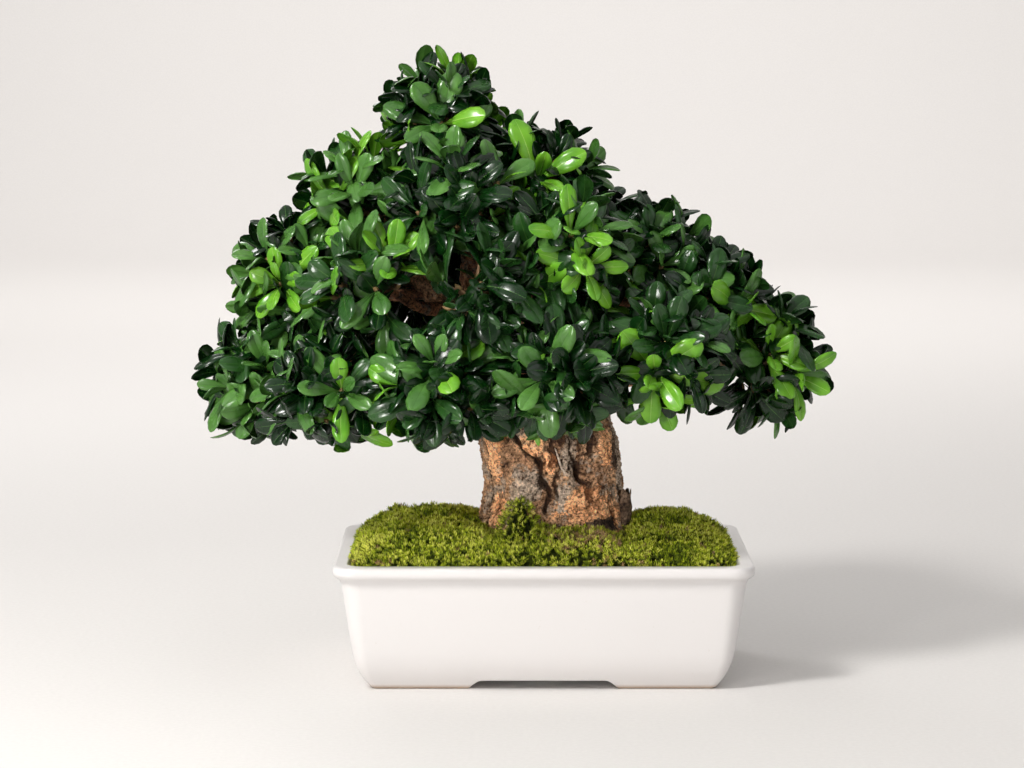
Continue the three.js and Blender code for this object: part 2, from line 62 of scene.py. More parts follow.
# Camera
# A long lens on a stand in front of the bonsai, level with the top of the crown, looking slightly
# down. Places are given in millimetres from the middle of the pot's footprint.
pot_low, pot_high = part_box("pot")
ORIGIN = np.array([(pot_low.x + pot_high.x) / 2, (pot_low.y + pot_high.y) / 2, 0.0])
MM = 0.001


def metres(points):
    """Points of the bonsai, given in millimetres, as places in the scene."""
    return np.asarray(points, float) * MM + ORIGIN


CAMERA_PLACE = (-24, -2438, 489.3)
CAMERA_PITCH = 6.19
CAMERA_LENS, SENSOR_WIDTH = 110.2, 36

camera = bpy.data.objects.new("camera", bpy.data.cameras.new("camera"))
bpy.context.scene.collection.objects.link(camera)
camera.location = metres(CAMERA_PLACE)
camera.rotation_euler = (math.radians(90 - CAMERA_PITCH), 0, 0)
camera.data.lens = CAMERA_LENS
camera.data.sensor_width = SENSOR_WIDTH
bpy.context.scene.camera = camera

# Floor
# A seamless sheet of pale matt paper, nine metres to each side. It lies flat under the pot and
# sweeps up far behind it in one round bend. Its sizes are in metres.
FLOOR_HALF = 9.0
SWEEP_START = 4.6
SWEEP_RADIUS = 1.6
SWEEP_STEPS = 12
PAPER_TOP = 6.0


def nodes_of(name):
    """A new material with its shader and its node tree."""
    material = bpy.data.materials.new(name)
    material.use_nodes = True
    tree = material.node_tree
    shader = tree.nodes["Principled BSDF"]
    return material, tree, shader


def add_node(tree, kind, links=(), **values):
    """A node with its settings and inputs. Links are (output socket, name of the input)."""
    node = tree.nodes.new(kind)
    for key, value in values.items():
        if hasattr(node, key):
            setattr(node, key, value)
        else:
            node.inputs[key.replace("_", " ")].default_value = value
    for output, name in links:
        tree.links.new(output, node.inputs[name])
    return node


def ramp(tree, factor, stops):
    """A colour ramp over rows of (position, (red, green, blue))."""
    node = tree.nodes.new("ShaderNodeValToRGB")
    elements = node.color_ramp.elements
    while len(elements) < len(stops):
        elements.new(0.5)
    for element, (position, colour) in zip(elements, stops):
        element.position = position
        element.color = (*colour, 1)
    tree.links.new(factor, node.inputs["Fac"])
    return node.outputs["Color"]


def noise_of(tree, place, scale, detail, roughness=0.55):
    links = [(place, "Vector")]
    node = add_node(tree, "ShaderNodeTexNoise", links, Scale=scale, Detail=detail, Roughness=roughness)
    return node.outputs["Fac"]


def bump(tree, shader, height, strength, distance):
    node = add_node(tree, "ShaderNodeBump", [(height, "Height")], Strength=strength, Distance=distance)
    tree.links.new(node.outputs["Normal"], shader.inputs["Normal"])


def coordinates_of(tree):
    return tree.nodes.new("ShaderNodeTexCoord").outputs["Object"]


def finish_with(tree, shader, colour, **values):
    """Links a colour to the shader and sets its plain values, such as Roughness."""
    tree.links.new(colour, shader.inputs["Base Color"])
    for key, value in values.items():
        shader.inputs[key.replace("_", " ")].default_value = value


def grained(name, grain, stops, grit=None, rise=None, **values):
    """A material with a ramp of colour over one noise, its grain, and a bump of another, its grit.

    Grain and grit are a noise's scale, detail and roughness; rise is the bump's strength and distance.
    """
    material, tree, shader = nodes_of(name)
    place = coordinates_of(tree)
    finish_with(tree, shader, ramp(tree, noise_of(tree, place, *grain), stops), **values)
    if grit:
        bump(tree, shader, noise_of(tree, place, *grit), *rise)
    return material


def piece_of(name, points, faces, materials, face_material=None, smooth=True):
    """A mesh piece from arrays of points in metres and of faces, which may be of several sizes."""
    mesh = bpy.data.meshes.new(name)
    mesh.from_pydata([tuple(point) for point in points], [], faces)
    for material in materials:
        mesh.materials.append(material)
    if face_material is not None:
        mesh.polygons.foreach_set("material_index", np.asarray(face_material, np.int32))
    mesh.polygons.foreach_set("use_smooth", np.full(len(mesh.polygons), smooth))
    mesh.update()
    piece = bpy.data.objects.new(name, mesh)
    bpy.context.scene.collection.objects.link(piece)
    return piece


sweep = [(-FLOOR_HALF, 0.0), (SWEEP_START, 0.0)]
for step in range(1, SWEEP_STEPS + 1):
    turn = step / SWEEP_STEPS * math.pi / 2
    along = SWEEP_START + SWEEP_RADIUS * math.sin(turn)
    sweep.append((along, SWEEP_RADIUS * (1 - math.cos(turn))))
sweep.append((SWEEP_START + SWEEP_RADIUS, PAPER_TOP))
floor_points = [(side * FLOOR_HALF, y, z) for y, z in sweep for side in (-1, 1)]
floor_faces = [(2 * k, 2 * k + 1, 2 * k + 3, 2 * k + 2) for k in range(len(sweep) - 1)]
PAPER_TINTS = [(0.3, (0.718, 0.696, 0.678)), (0.7, (0.747, 0.725, 0.707))]
paper = grained("paper", (260, 2), PAPER_TINTS, Roughness=0.7, Specular_IOR_Level=0.25)
floor = piece_of("floor", floor_points, floor_faces, [paper])

# Light
# A soft lamp high at the front left gives the leaves their gloss, a narrow one under it reaches the
# trunk below the crown, and weak ones fill from the right and from behind. Pale light comes from
# above and from a low band all round, and a lamp of its own lights the paper behind.
bpy.context.scene.view_settings.view_transform = "Standard"
world = bpy.data.worlds.new("studio")
bpy.context.scene.world = world
world.use_nodes = True
tree = world.node_tree
way = tree.nodes.new("ShaderNodeTexCoord").outputs["Generated"]
level = add_node(tree, "ShaderNodeSeparateXYZ", [(way, "Vector")])
height_share = add_node(tree, "ShaderNodeMapRange", [(level.outputs["Z"], "Value")], From_Min=-1.0)
# How high a direction points, from -1 to 1, and how bright the room is there.
ROOM_LIGHT = [(-1, 0.36), (-0.02, 0.64), (0.11, 0.64), (0.17, 0.20), (0.45, 0.24), (0.75, 0.66), (1, 0.85)]
room_stops = [((z + 1) / 2, (light, light * 0.985, light * 0.97)) for z, light in ROOM_LIGHT]
room = ramp(tree, height_share.outputs["Result"], room_stops)
tree.links.new(room, tree.nodes["Background"].inputs["Color"])
WARM = (1.0, 0.985, 0.96)
# Name, place and aim in metres, width, power in watts, colour, and spread in degrees.
LAMPS = [
    ("key", (-1.25, -1.35, 1.75), (0, 0, 0.25), 0.5, 45, WARM, 180),
    ("low_key", (-1.15, -2.3, 0.42), (0, 0, 0.24), 0.5, 1.12, WARM, 34),
    ("fill", (1.9, -1.5, 1.0), (0, 0, 0.25), 1.2, 4, (0.96, 0.98, 1.0), 180),
    ("back", (-0.9, 1.7, 1.5), (0, 0, 0.3), 0.8, 9, (1.0, 1.0, 1.0), 180),
    ("paper_light", (0, 2.4, 3.3), (-0.2, 6.2, 1.3), 1.6, 114, (1.0, 0.985, 0.975), 180),
]
for name, place, aim, size, power, colour, spread in LAMPS:
    lamp = bpy.data.lights.new(name, "AREA")
    lamp.shape = "DISK"
    lamp.size = size
    lamp.energy = power
    lamp.color = colour
    lamp.spread = math.radians(spread)
    holder = bpy.data.objects.new(name, lamp)
    bpy.context.scene.collection.objects.link(holder)
    holder.location = place
    holder.rotation_euler = (Vector(aim) - Vector(place)).to_track_quat("-Z", "Y").to_euler()

# Pot
# White glazed stoneware, pressed in a mould: long sides with round corners, a rim band that stands
# out, a belly that draws in to four corner feet, and a bare line under the feet, where they stood in
# the kiln without glaze.
POT_WIDTH, POT_DEPTH, WALL = 320.0, 224.0, 9.5
RIM_CORNER, LEAST_CORNER = 18.0, 3
# How much tighter the corners get for each millimetre that the wall lies inside the rim's edge.
CORNER_SHRINK = 0.45
CORNER_STEPS = 9
# Heights of the soil, of the pot's floor inside, and of the place just below the rim band.
GROUND, FLOOR_TOP, BELOW_RIM = 88.0, 17.0, 84
# Height, and how far the outer wall lies inside the rim's edge.
POT_PROFILE = [
    (0, 29.3), (0.5, 28.4), (2.5, 26.4), (5, 24.5), (8, 22.4), (12, 20), (16, 18.1), (20, 16.6),
    (25, 15.15), (30, 14), (40, 12.4), (50, 11), (62, 9.3), (74, 7.6), (83, 6.2), (86.2, 5.0),
    (87.8, 2.6), (89.2, 0.9), (91, 0.2), (93, 0), (95.2, 0.1), (96.5, 0.7), (97.2, 1.7), (97.5, 3.0),
]
RIM_TOP_WIDTH = 7.5
# Height, and how far past the rim's inner edge, of the round between the rim's top and its inside.
RIM_INNER_ROUND = [(97.5, -0.6), (97.1, 0.6), (96.2, 1.3), (95, 1.6)]
INSIDE_LEVELS = (GROUND, 60, 34, FLOOR_TOP)
# Half widths of the opening between two feet, at the ground and at its top.
FRONT_ARCH, SIDE_ARCH = (56.5, 48), (36, 28)
FOOT_HEIGHT = 7.2
# How round the edges are, and from what angle in degrees an edge is rounded.
EDGE_ROUND, EDGE_ANGLE = 0.9, 38


def read_rows(rows, key):
    """The values of rows (key, ...values) at one key or many, in a straight line between rows."""
    keys, *columns = zip(*rows)
    return [np.interp(key, keys, column) for column in columns]


def pot_section(inset, height):
    """A ring round the pot at a height, its wall inset from the rim's edge."""
    radius = max(RIM_CORNER - inset * CORNER_SHRINK, LEAST_CORNER)
    half_x = POT_WIDTH / 2 - inset - radius
    half_y = POT_DEPTH / 2 - inset - radius
    ring = []
    for corner, (right, back) in enumerate([(1, 1), (-1, 1), (-1, -1), (1, -1)]):
        for step in range(CORNER_STEPS + 1):
            turn = (corner + step / CORNER_STEPS) * math.pi / 2
            x = right * half_x + radius * math.cos(turn)
            y = back * half_y + radius * math.sin(turn)
            ring.append((x, y, height))
    return ring


def ring_faces(count, sides):
    """Faces of a closed skin over a count of rings, each with as many points as it has sides."""
    faces = []
    for low in range(0, (count - 1) * sides, sides):
        for side in range(sides):
            after = (side + 1) % sides
            faces.append((low + side, low + after, low + sides + after, low + sides + side))
    faces.append(tuple(range(sides))[::-1])
    faces.append(tuple(range((count - 1) * sides, count * sides)))
    return faces


def loft(rings):
    """Points and faces of a closed skin over rings of equal length."""
    return [point for ring in rings for point in ring], ring_faces(len(rings), len(rings[0]))


def inner_inset(height):
    return read_rows(POT_PROFILE, min(height, BELOW_RIM))[0] + WALL


rings = [pot_section(inset, height) for height, inset in POT_PROFILE]
rim_inner = POT_PROFILE[-1][1] + RIM_TOP_WIDTH
rings += [pot_section(rim_inner + past, height) for height, past in RIM_INNER_ROUND]
rings += [pot_section(inner_inset(height), height) for height in INSIDE_LEVELS]
points, faces = loft(rings)


def mixed(tree, share, under, over, blend="MIX"):
    """Two colours mixed. The share and each colour is a node's output or a plain value."""
    node = add_node(tree, "ShaderNodeMix", data_type="RGBA", blend_type=blend)
    for socket, value in ((0, share), (6, under), (7, over)):
        if isinstance(value, bpy.types.NodeSocket):
            tree.links.new(value, node.inputs[socket])
        else:
            node.inputs[socket].default_value = value
    return node.outputs[2]


# The glaze's white by height in metres, the clay's colour, and the few pale brown specks in the glaze.
GLAZE_WHITES = [(0.004, (0.67, 0.642, 0.63)), (0.03, (0.686, 0.661, 0.653)), (0.09, (0.692, 0.668, 0.661))]
BARE_CLAY = (0.42, 0.28, 0.17, 1)
BLACK, WHITE = (0, 0, 0), (1, 1, 1)
SPECKS = [(0.72, WHITE), (0.76, (0.94, 0.93, 0.90))]
glaze, tree, shader = nodes_of("white_glaze")
place = coordinates_of(tree)
glaze_level = add_node(tree, "ShaderNodeSeparateXYZ", [(place, "Vector")]).outputs["Z"]
specks = ramp(tree, noise_of(tree, place, 420, 2), SPECKS)
white = mixed(tree, 1.0, ramp(tree, glaze_level, GLAZE_WHITES), specks, "MULTIPLY")
bare = ramp(tree, glaze_level, [(0.0, WHITE), (0.0012, BLACK)])
footed = mixed(tree, bare, white, BARE_CLAY)
finish_with(tree, shader, footed, Roughness=0.28, Coat_Weight=0.35, Coat_Roughness=0.08)

pot = piece_of("glazed_pot", metres(points), faces, [glaze])


def cut_away(piece, rings):
    """Cuts a closed skin out of a piece."""
    points, faces = loft(rings)
    cutter = piece_of("cutter", metres(points), faces, [])
    bm = bmesh.new()
    bm.from_mesh(cutter.data)
    bmesh.ops.recalc_face_normals(bm, faces=bm.faces)
    bm.to_mesh(cutter.data)
    bm.free()
    cut = piece.modifiers.new("cut", "BOOLEAN")
    cut.operation, cut.solver, cut.object = "DIFFERENCE", "EXACT", cutter
    apply_modifiers(piece)
    bpy.data.objects.remove(cutter)


def apply_modifiers(piece):
    graph = bpy.context.evaluated_depsgraph_get()
    made = bpy.data.meshes.new_from_object(piece.evaluated_get(graph))
    piece.modifiers.clear()
    old, piece.data = piece.data, made
    bpy.data.meshes.remove(old)


def arch_rings(foot, top, reach, turned):
    """The opening between two feet, as a bar with soft shoulders, along the depth or the width."""
    half = [(foot + 1.6, -1.0), (foot + 0.4, 0.6), (foot - 1.6, 2.6), (top + 3.2, 5.6)]
    half += [(top + 1.2, 6.8), (top - 1.5, FOOT_HEIGHT)]
    outline = half + [(-x, z) for x, z in reversed(half)]
    if turned:
        return [[(side * reach, x, z) for x, z in outline] for side in (1, -1)]
    return [[(x, side * reach, z) for x, z in outline] for side in (-1, 1)]


cut_away(pot, arch_rings(*FRONT_ARCH, POT_DEPTH, False))
cut_away(pot, arch_rings(*SIDE_ARCH, POT_WIDTH, True))
edge = pot.modifiers.new("edge", "BEVEL")
edge.width, edge.segments, edge.angle_limit = EDGE_ROUND * MM, 2, math.radians(EDGE_ANGLE)
apply_modifiers(pot)
for polygon in pot.data.polygons:
    polygon.use_smooth = True
even = pot.modifiers.new("even", "WEIGHTED_NORMAL")
even.keep_sharp = True
apply_modifiers(pot)
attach(pot, "root")
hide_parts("pot")

# Soil
# Dark brown compost with crumbs of baked clay, which fills the pot to just under the rim. The moss
# is laid on it and hides nearly all of it.
SOIL_BROWNS = [(0.35, (0.020, 0.012, 0.007)), (0.65, (0.13, 0.075, 0.04))]
soil, tree, shader = nodes_of("dark_soil")
place = coordinates_of(tree)
finish_with(tree, shader, ramp(tree, noise_of(tree, place, 160, 4), SOIL_BROWNS), Roughness=0.95)
crumbs = add_node(tree, "ShaderNodeTexVoronoi", [(place, "Vector")], Scale=420)
bump(tree, shader, crumbs.outputs["Distance"], 0.9, 0.003)
frame["nodes"]["soil"].data.materials.clear()
frame["nodes"]["soil"].data.materials.append(soil)

# Trunk
# Old wood, squat and broad, with folds that run round a grey burl at the left and pits where side
# boughs were cut away. The bark is thin and rough, orange-brown where it has flaked and grey-brown
# where it is old, with dark cracks, and painted shade darkens it in the hollows. It stands on the soil
# and forks under the crown.

# Height, centre x, centre y, half width, half depth.
TRUNK_ROWS = [
    (88.3, 8, 0, 65, 56), (104, 8, 0, 60, 51), (122, 7.5, 0, 56, 47), (150, 8.5, 0, 53, 44),
    (182, 4.5, -1, 54, 45), (206, -2, -2, 51.5, 43), (228, -15, -3, 43, 37), (248, -30, -4, 33, 30),
    (266, -45, -6, 24, 23), (284, -60, -8, 17, 17),
]
# Angle in degrees with the front at -90, height, spread in degrees, spread in height, and rise.
TRUNK_LUMPS = [
    (-58, 112, 24, 20, 10), (-140, 104, 20, 18, 7), (-12, 100, 22, 16, 6), (70, 104, 26, 22, 8),
    (160, 102, 20, 18, 5), (-110, 147, 17, 17, 8), (-46, 188, 22, 22, 5), (-68, 153, 6, 9, -4),
    (-90, 132, 8, 16, -4), (35, 165, 26, 30, 5), (110, 140, 14, 34, -6),
]
# Creases from one angle and height to another, with how wide and how deep each is.
TRUNK_CREASES = [
    (-150, 204, -98, 152, 8, 8), (-68, 200, -66, 160, 7, 5),
    (20, 205, 52, 120, 8, 6), (150, 200, 128, 118, 8, 6),
]
# Narrow cracks in the bark, that only show close to: the deep fold that runs down to the right of the
# burl, a pit at the right, and finer ones all round.
BARK_CRACKS = [
    (-140, 211, -126, 195, 3.0, 6.0), (-126, 195, -115, 180, 2.6, 6.0), (-115, 180, -103, 170, 2.4, 5.0),
    (-103, 170, -98, 152, 2.2, 5.0), (-98, 152, -95, 132, 2.2, 5.4), (-76, 200, -68, 168, 1.6, 2.4),
    (-66, 162, -63, 153, 2.4, 5.4), (-63, 153, -59, 144, 1.4, 3.0), (-46, 206, -56, 172, 2.0, 3.2),
    (-30, 204, -37, 128, 1.6, 2.6), (-89, 196, -84, 168, 1.4, 2.0), (-84, 168, -89, 144, 1.5, 2.6),
    (-134, 178, -141, 126, 1.7, 2.4), (-120, 134, -108, 122, 1.8, 3.0), (-160, 200, -152, 120, 1.8, 2.6),
    (-12, 196, -18, 116, 2.0, 3.2), (10, 190, 0, 120, 2.4, 3.0), (34, 206, 28, 130, 1.8, 2.4),
    (60, 200, 66, 110, 2.6, 4.0), (95, 190, 88, 130, 2.2, 3.4), (118, 204, 124, 140, 1.8, 2.6),
    (140, 180, 150, 110, 2.6, 3.6), (172, 196, 168, 120, 2.2, 3.0),
]
CRACK_WANDER, CRACK_END = 2.6, 4
# Rings of points lie close together up to the top of the broad part, and further apart above it.
TRUNK_FOOT, BROAD_TOP, TRUNK_TOP = 88.3, 212, 284.0
RING_STEP, UPPER_RINGS = 0.85, 34
TRUNK_TURNS = 350


def turn_between(a, b):
    """The turn from angle b to angle a in degrees, from -180 to 180."""
    return (a - b + 540) % 360 - 180


def patch(angle, height, centre, level, wide, tall):
    """How far places at arrays of angles and heights are in a soft round patch, 1 at its middle."""
    across = turn_between(angle, centre) / wide
    along = (height - level) / tall
    return np.exp(-across * across - along * along)


def groove(angle, height, ends, wide, fade, wander=0):
    """The same for a soft groove between two ends, which fades past them and may wander sideways."""
    a0, z0, a1, z1 = ends
    share = np.clip((height - z0) / (z1 - z0), 0, 1)
    across = turn_between(angle, a0 + (a1 - a0) * share + wander) / wide
    beyond = (height - (z0 + (z1 - z0) * share)) / fade
    return np.exp(-across * across - beyond * beyond)


def trunk_relief(angle, height):
    """How far lumps and creases move the bark at arrays of angles and heights."""
    relief = np.zeros_like(angle)
    for *place, rise in TRUNK_LUMPS:
        relief += rise * patch(angle, height, *place)
    for *ends, wide, depth in TRUNK_CREASES:
        relief -= depth * groove(angle, height, ends, wide, wide)
    return relief


def crack_relief(angle, height):
    """How deep the cracks are at arrays of angles and heights."""
    deep = np.zeros_like(angle)
    for *ends, wide, depth in BARK_CRACKS:
        wander = CRACK_WANDER * np.sin(height * 0.21 + ends[0])
        deep += depth * groove(angle, height, ends, wide, CRACK_END, wander)
    return deep


# How far the bark's noise is drawn out up the trunk, and its fibres still more.
DRAWN_OUT, FIBRE_DRAWN_OUT = 0.62, 0.30
# Scale per millimetre of the lumps, fibres, flakes and fine grain in the bark.
LUMP_SCALE, FIBRE_SCALE, FLAKE_SCALE, GRAIN_SCALE = 0.055, 0.13, 0.21, 0.62
# The noise is warped, so that it doesn't run in rows: scale of the warp, and how far in millimetres.
# This is the one noise that would follow the clock, so it gets a seed.
WARP_SCALE, WARP_BY, WARP_SEED = 0.05, 6, 5
noise.seed_set(WARP_SEED)


def bark_roughness(points, coarse=1.0):
    """The rise of the bark at each point, in millimetres, from lumps down to flakes and fine grain."""
    rise = np.empty(len(points))
    for index, (x, y, z) in enumerate(points):
        place = Vector((x, y, z * DRAWN_OUT))
        warp = noise.noise_vector(place * WARP_SCALE) * WARP_BY
        lump = noise.fractal((place + warp) * LUMP_SCALE, 0.75, 2.1, 3)
        strand = Vector((x, y, z * FIBRE_DRAWN_OUT)) * FIBRE_SCALE + warp * 0.03
        fibre = noise.ridged_multi_fractal(strand, 0.85, 2.2, 3, 1.0, 2.0)
        cells = noise.voronoi((place + warp * 1.4) * FLAKE_SCALE)[0]
        seam = min(cells[1] - cells[0], 0.22) - 0.16
        fine = noise.fractal(place * GRAIN_SCALE, 0.5, 2.1, 3)
        rise[index] = coarse * (2.0 * lump + 0.9 * (fibre - 1.1) + 4.0 * seam) + 1.25 * fine
    return rise


upper = np.linspace(BROAD_TOP + 1, TRUNK_TOP, UPPER_RINGS)
heights = np.concatenate([np.arange(TRUNK_FOOT, BROAD_TOP, RING_STEP), upper])
angles = np.arange(TRUNK_TURNS) * 360 / TRUNK_TURNS
grid_height, grid_angle = np.meshgrid(heights, angles, indexing="ij")
centre_x, centre_y, half_x, half_y = read_rows(TRUNK_ROWS, grid_height)
turns = np.radians(grid_angle)


def trunk_skin(relief):
    """Points of the trunk's skin, with a relief added to its half width and half depth."""
    x = centre_x + (half_x + relief) * np.cos(turns)
    y = centre_y + (half_y + relief) * np.sin(turns)
    return np.stack([x, y, grid_height], axis=-1).reshape(-1, 3)


# Relief fades where the trunk gets thin, towards the fork.
fade = np.clip(half_x / 50, 0.2, 1)
cracks = crack_relief(grid_angle, grid_height)
relief = (trunk_relief(grid_angle, grid_height) - cracks * 0.8) * fade
smooth_points = trunk_skin(relief)
rough = bark_roughness(smooth_points).reshape(grid_height.shape) * np.clip(fade + 0.2, 0, 1)
skin_points = trunk_skin(relief + rough)

# Colours of rough bark against its own colour: dark specks, the colour itself, and pale spots up to twice as
# bright, partly the bark's own pale grain and partly painted highlight.
SPECKS_AND_GLINTS = [(0.36, (0.17, 0.09, 0.055)), (0.48, (1, 0.97, 0.94)), (0.66, (2.1, 2.0, 1.85))]
# Painted shade: how much of the bark's dark colour is mixed in, from deep in a hollow to part way up.
HOLLOW_PAINTED_SHADE = [(0.16, WHITE), (0.42, BLACK)]


def bark_material(name, dark, mid, light, grey, grey_share):
    """Flaking bark: two browns and a grey in patches, painted shade in the hollows, dark specks, and pale
    spots that are partly painted highlight.
    """
    material, tree, shader = nodes_of(name)
    place = coordinates_of(tree)
    brown = ramp(tree, noise_of(tree, place, 62, 6, 0.68), [(0.34, dark), (0.44, mid), (0.62, light)])
    grey_ends = [(0.60 - grey_share, BLACK), (0.66 - grey_share, WHITE)]
    grey_places = ramp(tree, noise_of(tree, place, 74, 5, 0.65), grey_ends)
    patched = mixed(tree, grey_places, brown, (*grey, 1))
    # Painted shade: the bark turns to its dark colour where it lies in a hollow.
    hollow = add_node(tree, "ShaderNodeAttribute", attribute_name="hollow").outputs["Fac"]
    painted_hollow_shade = mixed(tree, ramp(tree, hollow, HOLLOW_PAINTED_SHADE), patched, (*dark, 1))
    # Dark specks and pale spots at random; the pale ones are partly painted highlight.
    specks_and_glints = ramp(tree, noise_of(tree, place, 430, 4, 0.7), SPECKS_AND_GLINTS)
    flecked = mixed(tree, 1.0, painted_hollow_shade, specks_and_glints, "MULTIPLY")
    finish_with(tree, shader, flecked, Roughness=0.82, Specular_IOR_Level=0.35)
    bump(tree, shader, noise_of(tree, place, 620, 5, 0.7), 0.75, 0.0012)
    return material


# Name, dark, mid, light and grey colours, and how much of the bark is grey.
BARKS = [
    ("old_bark", (0.040, 0.017, 0.007), (0.30, 0.165, 0.090), (0.58, 0.36, 0.21), (0.36, 0.28, 0.215), 0.06),
    ("flaked_bark", (0.17, 0.065, 0.026), (0.74, 0.38, 0.185), (0.92, 0.56, 0.31), (0.66, 0.44, 0.28), 0),
    ("grey_bark", (0.046, 0.028, 0.018), (0.33, 0.245, 0.180), (0.60, 0.48, 0.375), (0.48, 0.39, 0.31), 0.1),
    ("charred_bark", (0.014, 0.007, 0.004), (0.075, 0.045, 0.028), (0.2, 0.135, 0.09),
     (0.16, 0.125, 0.095), 0),
]
BARE_WOOD = [(0.35, (0.40, 0.28, 0.19)), (0.6, (0.78, 0.66, 0.54))]
bark_kinds = [bark_material(*row) for row in BARKS]
bark_kinds.append(grained("bare_wood", (700, 4), BARE_WOOD, Roughness=0.7))
OLD, FLAKED, GREY, CHARRED, BARE = range(5)
# Patches of bark by angle, height and spread: freshly flaked, grey, and dark as if charred.
FLAKED_PATCHES = [
    (-60, 134, 27, 14), (-44, 122, 16, 14), (-104, 182, 10, 12), (-92, 168, 6, 9), (-146, 178, 12, 26),
    (-140, 128, 10, 14), (-40, 178, 10, 16), (30, 120, 20, 18), (100, 160, 18, 22), (170, 130, 16, 20),
]
GREY_PATCHES = [
    (-113, 147, 15, 17), (-122, 126, 12, 13), (-74, 170, 8, 20), (-84, 140, 8, 10), (-12, 160, 14, 40),
    (60, 180, 20, 20), (135, 120, 16, 20), (0, 110, 16, 20),
]
CHARRED_PATCHES = [(-52, 119, 19, 8), (-24, 176, 7, 26), (-92, 200, 20, 8)]


def cover(patches, edge, ragged_by):
    """Where the trunk's skin lies in one of the patches, whose edges are ragged."""
    most = np.zeros_like(grid_angle)
    for place in patches:
        most = np.maximum(most, patch(grid_angle, grid_height, *place))
    return most + ragged_by > edge


class Gathered:
    """Points, faces and each face's material, gathered into one piece.

    Bark also has how deep each point lies, from 0 in a hollow to 1 on a crest, for the painted shade in its
    hollows.
    """

    def __init__(self):
        self.points, self.faces, self.kinds, self.hollow, self.count = [], [], [], [], 0

    def add(self, points, faces, kinds, hollow=()):
        self.points.append(points)
        self.faces.extend(tuple(corner + self.count for corner in face) for face in faces)
        self.kinds.extend(kinds if hasattr(kinds, "__len__") else [kinds] * len(faces))
        self.hollow.extend(hollow)
        self.count += len(points)

    def piece(self, name, materials, smooth=True):
        points = metres(np.vstack(self.points))
        made = piece_of(name, points, self.faces, materials, self.kinds, smooth)
        if self.hollow:
            attribute = made.data.attributes.new("hollow", "FLOAT", "POINT")
            attribute.data.foreach_set("value", np.array(self.hollow, np.float32))
        return made


ragged = np.array([noise.fractal(Vector(p) * 0.09, 0.6, 2.0, 4) for p in smooth_points])
ragged = ragged.reshape(grid_height.shape)
kind = np.where(cover(GREY_PATCHES, 0.42, 0.30 * ragged[:, ::-1]), GREY, OLD)
kind = np.where(cover(FLAKED_PATCHES, 0.42, 0.30 * ragged), FLAKED, kind)
kind = np.where(cover(CHARRED_PATCHES, 0.55, 0.25 * ragged[::-1]), CHARRED, kind)
# How deep each point lies, lower in the cracks; the bark's colour is darkened there as painted shade.
hollow = np.clip(0.52 + rough * 0.20 - cracks * 0.13, 0, 1).reshape(-1)
old_wood = Gathered()
skin_faces = ring_faces(len(heights), TRUNK_TURNS)
old_wood.add(skin_points, skin_faces, [*kind[:-1].reshape(-1), OLD, OLD], hollow)

# A dead stub with a torn top stands at the right foot: height, centre x, centre y and radius.
STUB_ROWS = [
    (98, 51, -13, 9), (104, 54, -14, 8.2), (120, 62, -15, 6.6), (134, 63, -15, 5.6), (142, 64, -15, 5.0),
]
STUB_SIDES, STUB_STEP = 22, 1.4
STUB_TEAR, TORN_FROM = 9.0, 131
rings = []
for height in np.arange(98, 142.1, STUB_STEP):
    x, y, radius = read_rows(STUB_ROWS, height)
    ring = []
    for side in range(STUB_SIDES):
        turn = side * 2 * math.pi / STUB_SIDES
        out = Vector((math.cos(turn), math.sin(turn), 0))
        grain = noise.fractal(Vector((*(out * 3).xy, height * 0.09)), 0.6, 2.0, 3)
        wide = radius * (1 + 0.30 * grain)
        torn = STUB_TEAR * noise.noise(out * 2.6) * max(0, (height - TORN_FROM) / 11)
        ring.append((x + wide * out.x, y + wide * out.y, height + torn))
    rings.append(ring)
points, faces = loft(rings)
old_wood.add(points, faces, CHARRED, [0.6] * len(points))

# A pale splinter of bare wood shows in the bark in front, a little right of the middle: height,
# centre x and radius. It lies on the bark.
SPLINTER = [(180, 9.0, 0.5), (176, 10.6, 0.9), (170, 12.4, 0.8), (165, 13.9, 0.9), (160.5, 16.8, 1.3)]
SIXTH = math.pi / 3
rings = []
for height, x, radius in SPLINTER:
    row = int(np.abs(heights - height).argmin())
    near = skin_points[row * TRUNK_TURNS : (row + 1) * TRUNK_TURNS]
    y = near[np.argmin(np.abs(near[:, 0] - x) + (near[:, 1] > 0) * 1000)][1] - 0.2
    round_it = [(radius * math.cos(k * SIXTH), radius * math.sin(k * SIXTH)) for k in range(6)]
    rings.append([(x + right, y + back, height) for right, back in round_it])
points, faces = loft(rings)
old_wood.add(points, faces, BARE, [1.0] * len(points))
trunk = old_wood.piece("old_trunk", bark_kinds)
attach(trunk, "root")
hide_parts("trunk")

# Boughs
# Seven boughs leave the trunk and sixteen more leave those. Each is one tapering round of wood with
# thin brown bark, and it runs on inside its mass of leaves as the stem of the mass.
CROWN_CORE = np.array([-20.0, 0.0, 245.0])
